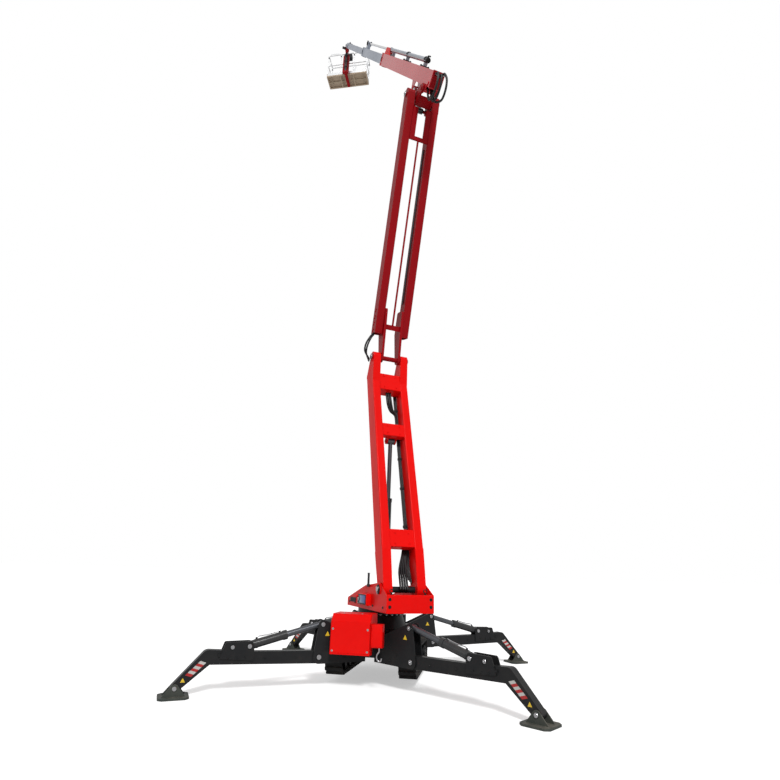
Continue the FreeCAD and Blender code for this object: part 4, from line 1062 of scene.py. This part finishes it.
@dataclass
class TurretFittings:
    """Pivot caps, control panel, aerial and trim on the turret."""

    forge: Forge
    cheek: float = 0.334
    door_out: float = 0.07
    eye_x: float = -1.01
    eye_out: float = 0.24

    def pivots(self) -> None:
        """Black rings and bright caps of the arm's pivot on both cheeks."""
        forge, (x, z) = self.forge, STANCE.arm_pivot
        for s in BOTH:
            forge.lathe(((0.0, 0.062), (0.01, 0.062), (0.016, 0.054), (0.016, 0.03)),
                        aimed((x, s * (self.cheek + 0.008), z), (0, s, 0)), 40)
        forge.done("pivot_rings", "black_paint")
        for s in BOTH:
            forge.cap((x, z), self.cheek + 0.022, s, 0.012, 0.034, 32)
            face = s * (self.cheek + 0.024)
            forge.bolts([round_y(x, face, z, 0.046, a + 0.5) for a in turns(3)], (0, s, 0), 0.014)
        forge.done("pivot_caps", "pin_steel")

    def aerial(self) -> None:
        """Black stub on the left cheek's top."""
        x, y = -0.39, self.cheek + 0.02
        self.forge.rod((x, y, 1.19), (x, y, 1.225), 0.024, 24, 0.003)
        self.forge.rod((x, y, 1.22), (x, y, 1.375), 0.016, 24, 0.004)
        self.forge.done("aerial_stub", "casing_grey")

    def floor_bolts(self) -> None:
        """Bolts along the lower edge of both cheeks."""
        for s in BOTH:
            spots = [(x, s * self.cheek, 0.955) for x in (-0.95, -0.55, -0.15, 0.25, 0.55)]
            self.forge.bolts(spots, (0, s, 0), 0.02)
        self.forge.done("cheek_bolts", "black_paint")

    def panel(self) -> None:
        """Dark panel with keys and a stop button on the left cheek, and the grille on its nose."""
        forge, y = self.forge, self.cheek
        forge.box((-0.075, y - 0.002, 0.945), (0.075, y + 0.022, 1.075), 0.006)
        forge.done("ground_panel", "casing_grey")
        for x in (0.024 * k for k in range(4)):
            forge.box((-0.056 + x, y + 0.021, 0.956), (-0.04 + x, y + 0.027, 0.97))
        for z in (0.962 + 0.03 * k for k in range(3)):
            forge.rod((0.054, y + 0.021, z), (0.054, y + 0.028, z), 0.008, 16, 0.002)
        # The keys' white is darkened as painted shade.
        forge.done("panel_keys", "stripe_white")
        forge.lathe(((0.0, 0.012), (0.012, 0.012), (0.014, 0.018), (0.026, 0.018), (0.03, 0.013)),
                    aimed((0.054, y + 0.021, 1.052), LEFTWARD), 24)
        forge.done("stop_button", "red_paint")
        forge.box((0.22, y - 0.001, 0.955), (0.5, y + 0.006, 1.02), 0.003)
        for x in (0.044 * k for k in range(6)):
            forge.box((0.235 + x, y + 0.005, 0.962), (0.26 + x, y + 0.012, 1.013))
        forge.done("nose_grille", "casing_grey")

    def cabinet(self) -> None:
        """Door, hinges, screen and latch of the cabinet on the left cheek."""
        forge, door = self.forge, self.cheek + self.door_out
        forge.box((-0.446, door - 0.001, 0.958), (-0.124, door + 0.004, 1.088), 0.003)
        for z in (0.985, 1.06):
            forge.rod((-0.446, door + 0.001, z - 0.014), (-0.446, door + 0.001, z + 0.014), 0.006, 14)
        forge.done("cabinet_door", "casing_grey")
        forge.box((-0.425, door + 0.003, 0.974), (-0.19, door + 0.007, 1.074))
        forge.done("ground_screen", "screen_blue")
        forge.box((-0.166, door + 0.003, 1.005), (-0.146, door + 0.012, 1.045), 0.003)
        forge.bolt((-0.156, door + 0.011, 1.025), LEFTWARD, 0.012, False)
        forge.done("cabinet_latch", "pin_steel")

    def tail(self) -> None:
        """Lifting eyes and bolts of the tail, and the valve block in front of it."""
        forge, x = self.forge, self.eye_x
        loop = ((-0.024, 1.15), (-0.02, 1.172), (0.0, 1.18), (0.02, 1.172), (0.024, 1.15), (0.0, 1.14))
        for y in (self.eye_out, -self.eye_out):
            forge.lathe(((0.0, 0.018), (0.01, 0.018), (0.012, 0.01), (0.03, 0.01)),
                        aimed((x, y, 1.113), UP), 20)
            forge.tube([(x, y + d, z) for d, z in loop], 0.006, 10)
        forge.done("tail_eyes", "black_paint")
        forge.bolts([(-1.085, y, z) for y in (-0.29, 0.29) for z in (0.97, 1.06)], BEHIND, 0.022)
        forge.done("tail_bolts", "black_paint")
        forge.box((-0.9, -0.2, 0.925), (-0.62, 0.06, 1.03), 0.006)
        for d in (0.052 * k for k in range(5)):
            forge.box((-0.885 + d, -0.215, 0.985), (-0.85 + d, -0.195, 1.02), 0.003)
            forge.rod((-0.868 + d, -0.1, 1.029), (-0.868 + d, -0.1, 1.062), 0.008, 12, 0.002)
        forge.done("valve_block", "casing_grey")

    def build(self) -> None:
        """Make every fitting of the turret."""
        self.forge.on("turret", STANCE.plane())
        self.panel()
        self.cabinet()
        self.tail()
        self.pivots()
        self.aerial()
        self.floor_bolts()


@dataclass
class ArmFittings:
    """Pin caps, bolts, hoses and ducts of the two lifting arms."""

    forge: Forge
    out: float = 0.312
    cap_gap: float = 0.018

    def pin_caps(self) -> None:
        """Caps with a bolt at the ends of the elbow's and the head's pins."""
        spots = (
            ("elbow", STANCE.lower(), -STANCE.elbow_out, STANCE.lower_length, "lower_arm"),
            ("head", STANCE.upper(), STANCE.upper_pin_out, STANCE.upper_length, "head"),
        )
        face = self.out + self.cap_gap
        for name, place, x, z, body in spots:
            forge = self.forge.on(body, place)
            for s in BOTH:
                forge.cap((x, z), face, s, 0.01, 0.052, 36)
                forge.bolt((x, s * (face + 0.01), z), (0, s, 0), 0.03)
            forge.done(name + "_pin_caps", "pin_steel")

    def lower_details(self) -> None:
        """Cross member bolts, hoses and clips of the lower arm."""
        forge = self.forge.on("lower_arm", STANCE.lower())
        for start, end, out in ((0.54, 0.79, 0.14), (2.3, 2.52, 0.145), (3.18, 3.5, 0.148)):
            spots = [(-out, s * 0.105, a) for s in BOTH for a in (start + 0.05, end - 0.05)]
            forge.bolts(spots, BEHIND, 0.022)
        forge.done("cross_member_bolts", "red_paint")
        for k, y in enumerate((-0.168, -0.15, -0.132)):
            forge.tube(((0.05, y, 0.1 + 0.02 * k), (0.085, y, 0.32), (0.06, y, 0.62), (0.055, y, 1.2),
                        (0.06, y, 2.1), (0.058, y, 3.00), (0.04, y * 0.9, 3.45)), 0.012, 10)
        forge.done("lower_hoses", "hose_rubber")
        for a in (0.9, 1.5, 2.0, 2.9):
            forge.box((0.036, -0.183, a - 0.02), (0.078, -0.118, a + 0.02), 0.003)
            forge.bolt((0.078, -0.15, a), AHEAD, 0.014)
        forge.done("hose_clips", "black_paint")
        for k in range(3):
            y = 0.045 - 0.034 * k
            forge.tube(((-0.05, y, 3.17), (-0.062, y, 3.06), (-0.045, y - 0.015, 2.94),
                        (0.0, y - 0.07 + 0.01 * k, 2.85), (0.04, -0.12 - 0.004 * k, 2.8),
                        (0.058, -0.138, 2.68)), 0.017)
        for k in range(4):
            y = 0.034 * k
            forge.tube(((0.058, -0.155 + 0.01 * k, 0.8), (0.05, -0.125 + 0.018 * k, 0.52),
                        (0.005, -0.075 + 0.03 * k, 0.27), (-0.07, -0.05 + y, 0.1),
                        (-0.096, -0.045 + y, -0.02)), 0.015)
        forge.done("elbow_hoses", "hose_rubber")

    def upper_details(self) -> None:
        """Neck bolts, side hoses and cable ducts of the upper arm."""
        forge = self.forge.on("upper_arm", STANCE.upper())
        for s in BOTH:
            for b in (0.5, 0.62, 0.74, 0.86):
                forge.bolts(((0.165, s * self.out, b), (0.225, s * self.out, b - 0.03)), (0, s, 0), 0.022)
        # The neck bolts take the red darkened as painted shade.
        forge.done("neck_bolts", "dark_red_paint")
        for b, out in ((-0.08, 0.085), (-0.05, 0.115)):
            forge.tube(((0.09, 0.336, b), (0.08, 0.35, b + 0.02), (0.05, 0.33 + out, b + 0.13),
                        (0.04, 0.33 + out, b + 0.26), (0.07, 0.33 + 0.4 * out, b + 0.4),
                        (0.12, 0.308, b + 0.48)), 0.015)
        forge.done("side_hoses", "hose_rubber")
        for y in (0.167, -0.167):
            forge.box((0.15, y - 0.009, 1.05), (0.205, y + 0.009, 3.95), 0.004)
            forge.bolts([(0.15, y, b) for b in (1.1, 2.0, 2.9, 3.85)], BEHIND, 0.014)
        forge.done("cable_ducts", "casing_grey")

    def build(self) -> None:
        """Make every fitting of the arms."""
        self.lower_details()
        self.upper_details()
        self.pin_caps()


@dataclass
class BoomFittings:
    """Saddle, clamps, hoses and brackets along the telescopic boom."""

    forge: Forge
    axis: float = STANCE.boom_axis
    half_height: float = 0.13
    front: float = 4.75
    middle_front: float = 8.2
    rear_end: float = -0.292
    end_pin: float = STANCE.basket_pivot
    pusher: float = 0.43
    pusher_radius: float = 0.043

    def saddles(self) -> None:
        """Red saddle at the boom's mouth and black clamps that hold the telescoping cylinder."""
        forge, pusher = self.forge.on("boom", STANCE.boom()), self.pusher
        top = self.axis + self.half_height
        low, high = top - 0.004, pusher + 0.03
        outline = ((4.06, low), (4.73, low), (4.6, high), (4.24, high))
        forge.plate(outline, 0.048, 0.062)
        forge.plate(outline, -0.062, -0.048)
        forge.box((4.2, -0.062, pusher - 0.08), (4.66, 0.062, pusher - 0.062), 0.004)
        forge.done("cylinder_saddle", "red_paint")
        for x in (0.79, 2.33):
            forge.lathe(((-0.03, 0.053), (-0.026, 0.058), (0.026, 0.058), (0.03, 0.053)),
                        aimed((x, 0, pusher), AHEAD), 40, self.pusher_radius - 0.0005)
            forge.box((x - 0.045, -0.085, top - 0.002), (x + 0.045, 0.085, top + 0.02), 0.003)
            forge.bolts([(x, y, top + 0.02) for y in (-0.072, 0.072)], UP, 0.022)
        forge.done("cylinder_clamps", "black_paint")

    def mouth(self) -> None:
        """Plates and screws of the wear pads round both sections' mouths."""
        sections = (("outer", self.front, 0.11, 0.14, "boom"),
                    ("middle", self.middle_front, 0.091, 0.117, "boom_middle"))
        for name, front, w, h, body in sections:
            forge = self.forge.on(body, STANCE.boom())
            flat, upright = (0.006, 0.05), (0.05, 0.006)
            for y, up, (dy, dz) in ((w, 0, flat), (-w, 0, flat), (0, h, upright), (0, -h, upright)):
                z = self.axis + up
                forge.box((front - 0.08, y - dy, z - dz), (front - 0.012, y + dy, z + dz))
            forge.done("mouth_plates_" + name, "black_paint")
            for s in BOTH:
                spots = [(front - 0.046, s * (w + 0.006), self.axis + z) for z in (-0.03, 0.03)]
                forge.bolts(spots, (0, s, 0), 0.012)
            forge.done("mouth_screws_" + name, "pin_steel")

    def pusher_end(self) -> None:
        """Black yoke over the post that the telescoping rod pushes."""
        forge, z = self.forge.on("boom_middle", STANCE.boom()), self.pusher
        for y in (-0.062, 0.044):
            forge.box((7.735, y, z - 0.06), (7.87, y + 0.018, z + 0.06), 0.004)
        forge.rod((7.805, -0.075, z), (7.805, 0.075, z), 0.022, 24, 0.003)
        forge.done("pusher_yoke", "black_paint")

    def rear(self) -> None:
        """Bolted cover, hose loops and hose nuts at the boom's rear end."""
        forge, rear, axis = self.forge.on("boom", STANCE.boom()), self.rear_end, self.axis
        forge.box((rear - 0.016, -0.094, axis - 0.122), (rear + 0.001, 0.094, axis + 0.122), 0.006)
        corners = [(rear - 0.016, y, axis + z) for y in (-0.078, 0.078) for z in (-0.104, 0.104)]
        forge.bolts(corners, BEHIND, 0.02)
        # The rear cover takes the red darkened as painted shade.
        forge.done("boom_rear_cover", "dark_red_paint")
        routes = ((-0.062, 0.38, 0.1), (-0.015, 0.24, 0.07), (0.055, 0.31, 0.085))
        for y, out, rise in routes:
            route = ((-0.02, 1, rise), (-0.1, 1, rise + 0.035), (-0.75 * out, 1.2, rise - 0.03),
                     (-out, 1.3, -0.09), (-0.85 * out, 1.3, -0.24), (-0.06, 1, -0.3), (0.14, 0.9, -0.22),
                     (0.24, 0.9, -0.128))
            forge.tube([(rear + x, y * wide, axis + z) for x, wide, z in route], 0.019, 14)
        forge.done("boom_rear_hoses", "hose_rubber")
        for y, out, rise in routes:
            z = axis + rise
            forge.rod((rear - 0.016, y, z - 0.001), (rear - 0.058, y, z + 0.012), 0.025, 6)
        forge.done("hose_nuts", "pin_steel")

    def pusher_start(self) -> None:
        """End cap, feed elbow and supply pipes of the telescoping cylinder."""
        forge, z = self.forge.on("boom", STANCE.boom()), self.pusher
        forge.lathe(((0.0, 0.036), (0.006, 0.046), (0.06, 0.048), (0.066, 0.04)),
                    aimed((0.655, 0, z), AHEAD), 36)
        forge.rod((0.735, 0, z + 0.03), (0.735, 0, z + 0.075), 0.016, 16, 0.003)
        forge.rod((0.735, 0, z + 0.066), (0.6, 0, z + 0.066), 0.013, 16, 0.003)
        forge.done("cylinder_end_cap", "black_paint")
        for y in (-0.052, 0.052):
            forge.tube(((0.7, y * 0.8, z - 0.02), (0.95, y, z - 0.014), (2.2, y * 1.02, z - 0.014),
                        (3.9, y, z - 0.014), (4.12, y * 0.8, z - 0.016)), 0.008, 10)
        forge.done("cylinder_supply_pipes", "pin_steel")

    def tip_end(self) -> None:
        """Bolted cheeks, end pin and cable guide of the tip section."""
        forge, axis = self.forge.on("boom_tip", STANCE.boom()), self.axis
        for s in BOTH:
            forge.bolts([(x, s * 0.076, axis + z) for x in (12.16, 12.24, 12.32) for z in (0.03, -0.03)],
                        (0, s, 0), 0.016)
            forge.cap((self.end_pin, axis), 0.086, s, 0.012, 0.034)
        forge.done("tip_pins", "pin_steel")
        forge.box((11.78, -0.052, axis + 0.085), (12.12, 0.052, axis + 0.1), 0.004)
        guide = ((12.06, 0.099), (12.12, 0.122), (12.18, 0.118), (12.22, 0.08))
        forge.tube([(x, 0.0, axis + z) for x, z in guide], 0.014)
        forge.done("tip_cable_guide", "casing_grey")

    def build(self) -> None:
        """Make every fitting of the boom."""
        self.rear()
        self.pusher_start()
        self.tip_end()
        self.saddles()
        self.mouth()
        self.pusher_end()


@dataclass
class BasketFittings:
    """Console controls, rail fittings and mast details of the basket."""

    forge: Forge
    drop: float = 1.18
    near: float = 0.12
    deep: float = 0.52
    long_half: float = 0.75
    tall: float = 1.1
    tube: float = 0.021

    def console(self) -> None:
        """Levers and the stop button on the basket's console."""
        forge = self.forge.on("basket", STANCE.basket())
        x0, top = self.near + self.tube + 0.017, -self.drop + self.tall + 0.012
        for y in (-0.1 + 0.066 * k for k in range(4)):
            forge.rod((x0 + 0.07, y, top), (x0 + 0.055, y, top + 0.06), 0.005, 12)
            forge.lathe(((0.0, 0.006), (0.008, 0.011), (0.018, 0.011), (0.024, 0.005)),
                        aimed((x0 + 0.054, y, top + 0.054), UP), 16)
        forge.done("console_levers", "casing_grey")
        forge.rod((x0 + 0.12, 0.1, top), (x0 + 0.12, 0.1, top + 0.018), 0.016, 24, 0.003)
        forge.done("console_stop_button", "red_paint")

    def rotator(self) -> None:
        """Rotator housing and its motor at the mast's top."""
        forge, x = self.forge.on("level_bracket", STANCE.tip()), STANCE.mast_ahead
        half = ((0.054, 0.062), (0.06, 0.07), (0.12, 0.07), (0.128, 0.058))
        forge.lathe([(-z, r) for z, r in reversed(half)] + list(half), aimed((x, 0, 0), UP), 40)
        # The housing takes the red darkened as painted shade.
        forge.done("rotator_housing", "dark_red_paint")
        forge.rod((x, 0.066, -0.02), (x, 0.185, -0.02), 0.042, 28, 0.005)
        forge.box((x - 0.032, 0.06, -0.055), (x + 0.032, 0.1, 0.03), 0.005)
        forge.done("rotator_motor", "casing_grey")

    def mast(self) -> None:
        """Hose bundle, its clamps and the bolted ribs of the basket's mast."""
        forge = self.forge.on("basket", STANCE.basket())
        for y in (-0.03, -0.01, 0.012, 0.032):
            forge.tube(((-0.05, y, -0.3), (-0.062, y * 1.3, -0.5), (-0.06, y * 1.3, -0.85),
                        (-0.052, y, -1.06), (-0.03, y, -1.235)), 0.011, 10)
        forge.done("mast_hoses", "hose_rubber")
        for z in (-0.42, -0.72, -1.02):
            forge.box((-0.074, -0.062, z - 0.018), (-0.04, 0.062, z + 0.018), 0.003)
            forge.bolts([(-0.074, y, z) for y in (-0.052, 0.052)], BEHIND, 0.014)
        forge.done("mast_clamps", "black_paint")
        for y in (0.085, -0.085):
            forge.box((-0.036, y - 0.006, -1.17), (0.036, y + 0.006, -0.44), 0.003)
            forge.bolts([(-0.036, y, z) for z in (-0.5, -0.8, -1.1)], BEHIND, 0.018)
        # The ribs take the red darkened as painted shade.
        forge.done("mast_ribs", "dark_red_paint")

    def skirts(self) -> None:
        """Alloy skins on the kick plates and the tray's ribs below."""
        forge, floor = self.forge.on("basket", STANCE.basket()), -self.drop
        low, high = floor + 0.045, floor + 0.158
        x0, x1, y = self.near, self.near + self.deep, self.long_half
        forge.box((x0 - 0.002, -y + 0.03, low), (x0 + 0.0005, y - 0.03, high), 0.0006)
        forge.box((x0 + 0.03, y - 0.0005, low), (x1 - 0.03, y + 0.002, high), 0.0006)
        forge.box((x0 + 0.03, -y - 0.002, low), (x1 - 0.03, -y + 0.0005, high), 0.0006)
        screws = [(x0 - 0.002, s * (0.16 + 0.13 * k), high - 0.02) for s in BOTH for k in range(5)]
        forge.bolts(screws, BEHIND, 0.01, False)
        forge.done("kick_skins", "alloy_tube")
        middle = (x0 + x1) / 2
        for k in range(4):
            at = -y + 0.16 + k * (2 * y - 0.32) / 3
            forge.box((x0 + 0.055, at - 0.006, floor + 0.006), (x1 - 0.055, at + 0.006, floor + 0.03))
        for start, end in ((0.12, y - 0.05), (0.05 - y, -0.12)):
            forge.box((middle - 0.012, start, floor - 0.002), (middle + 0.012, end, floor + 0.028), 0.001)
        forge.done("tray_ribs", "tray_brown")

    def rails(self) -> None:
        """Corner clamps and grab handles on the rails."""
        forge = self.forge.on("basket", STANCE.basket())
        top = -self.drop + self.tall
        x0, x1 = self.near + self.tube, self.near + self.deep - self.tube
        y = self.long_half - self.tube
        for x, at in ((x0, -y), (x0, y), (x1, -y), (x1, y), (x0, -0.25), (x0, 0.25)):
            forge.lathe(((-0.03, 0.02), (-0.026, 0.0225), (0.026, 0.0225), (0.03, 0.02)),
                        aimed((x, at, top - 0.1), UP), 24)
            forge.bolt((x - 0.022, at, top - 0.1), BEHIND, 0.01, False)
        forge.done("rail_clamps", "casing_grey")
        handle = ((0.34, 0.01), (0.34, 0.055), (0.4, 0.075), (0.6, 0.075), (0.66, 0.055), (0.66, 0.01))
        for s in BOTH:
            forge.tube([(x0, s * at, top + rise) for at, rise in handle], 0.009)
        forge.done("grab_handles", "alloy_tube")

    def build(self) -> None:
        """Make every fitting of the basket."""
        self.console()
        self.rotator()
        self.mast()
        self.skirts()
        self.rails()


@dataclass
class Studio:
    """Floor, light, world and camera."""

    floor_size: float = 400.0
    floor_low: float = -0.001
    floor_shade: float = 0.8
    floor_glow: float = 0.46
    mirror_sky: float = 0.55
    sky_light: float = 0.34
    film: float = 36.0
    focal_pixels: float = 498.82
    photo_pixels: float = 780.0
    eye: Vec3 = (-7.91, -1.475, 1.381)
    azimuth: float = 0.1801
    pitch: float = 0.3513
    roll: float = 0.0276

    def floor(self) -> None:
        """Lay the pale floor."""
        mesh = bpy.data.meshes.new("studio_floor")
        size = self.floor_size
        corners = [(-size, -size, 0), (size, -size, 0), (size, size, 0), (-size, size, 0)]
        mesh.from_pydata(corners, [], [(0, 1, 2, 3)])
        plane = bpy.data.objects.new("studio_floor", mesh)
        plane.location.z = self.floor_low
        bpy.context.scene.collection.objects.link(plane)
        material = bpy.data.materials.new("studio_floor")
        material.use_nodes = True
        tree = material.node_tree
        tree.nodes.remove(tree.nodes["Principled BSDF"])
        matt = add_node(tree, "BsdfDiffuse", {"Color": (*[self.floor_shade] * 3, 1)})
        seen = add_node(tree, "LightPath", {})["Is Camera Ray"]
        strength = math_node(tree, "MULTIPLY", seen, self.floor_glow)
        glow = add_node(tree, "Emission", {"Strength": strength})
        both = add_node(tree, "AddShader", {0: matt[0], 1: glow[0]})
        fill(tree, tree.nodes["Material Output"].inputs, {"Surface": both[0]})
        plane.data.materials.append(material)

    def world(self) -> None:
        """White sky to the camera and to reflections, softer to the light."""
        world = bpy.data.worlds.new("studio")
        bpy.context.scene.world = world
        world.use_nodes = True
        tree = world.node_tree
        ray = add_node(tree, "LightPath", {})
        seen = math_node(tree, "MAXIMUM", ray["Is Camera Ray"], ray["Is Transmission Ray"])
        mirrored = math_node(tree, "MULTIPLY", ray["Is Glossy Ray"], self.mirror_sky)
        mixed = math_node(tree, "MAXIMUM", seen, mirrored)
        strength = ramp(tree, mixed, 0.0, 1.0, self.sky_light, 1.0)
        fill(tree, tree.nodes["Background"].inputs, {"Color": (1, 1, 1, 1), "Strength": strength})

    def lamps(self) -> None:
        """A broad sun from behind the camera's right and a weak one from its side."""
        suns = (("key", 2.7, 10.0, (52.0, 0.0, -70.0)), ("fill", 0.35, 40.0, (65.0, 0.0, -130.0)))
        for name, power, angle, turn in suns:
            data = bpy.data.lights.new(name, "SUN")
            data.energy = power
            data.angle = math.radians(angle)
            lamp = bpy.data.objects.new(name, data)
            lamp.rotation_euler = [math.radians(a) for a in turn]
            bpy.context.scene.collection.objects.link(lamp)

    def camera(self) -> None:
        """Wide lens low behind the engine cover's end, looking up."""
        data = bpy.data.cameras.new("photo_view")
        data.sensor_width = self.film
        data.lens = self.film * self.focal_pixels / self.photo_pixels
        data.clip_end = 1000.0
        eye = bpy.data.objects.new("photo_view", data)
        flat = math.cos(self.pitch)
        look = Vector((math.cos(self.azimuth) * flat, math.sin(self.azimuth) * flat, math.sin(self.pitch)))
        eye.location = self.eye
        eye.rotation_mode = "QUATERNION"
        eye.rotation_quaternion = look.to_track_quat("-Z", "Y") @ Quaternion((0, 0, 1), self.roll)
        bpy.context.scene.collection.objects.link(eye)
        bpy.context.scene.camera = eye

    def build(self) -> None:
        """Make the whole studio."""
        bpy.context.scene.view_settings.view_transform = "Standard"
        self.floor()
        self.world()
        self.lamps()
        self.camera()
        LOG.info("studio set")


def main() -> None:
    """Load the frame, dress it and set the studio."""
    logging.basicConfig(level=logging.INFO, format="%(message)s")
    for thing in list(bpy.data.objects):
        bpy.data.objects.remove(thing)
    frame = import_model()
    palette = Palette()
    dress_nodes(frame, palette)
    forge = Forge(palette)
    Undercarriage(forge).build()
    for corner in Corner:
        OutriggerFittings(forge, Outrigger(corner)).build()
    TurretFittings(forge).build()
    ArmFittings(forge).build()
    BoomFittings(forge).build()
    BasketFittings(forge).build()
    Studio().build()


if __name__ == "__main__":
    main()
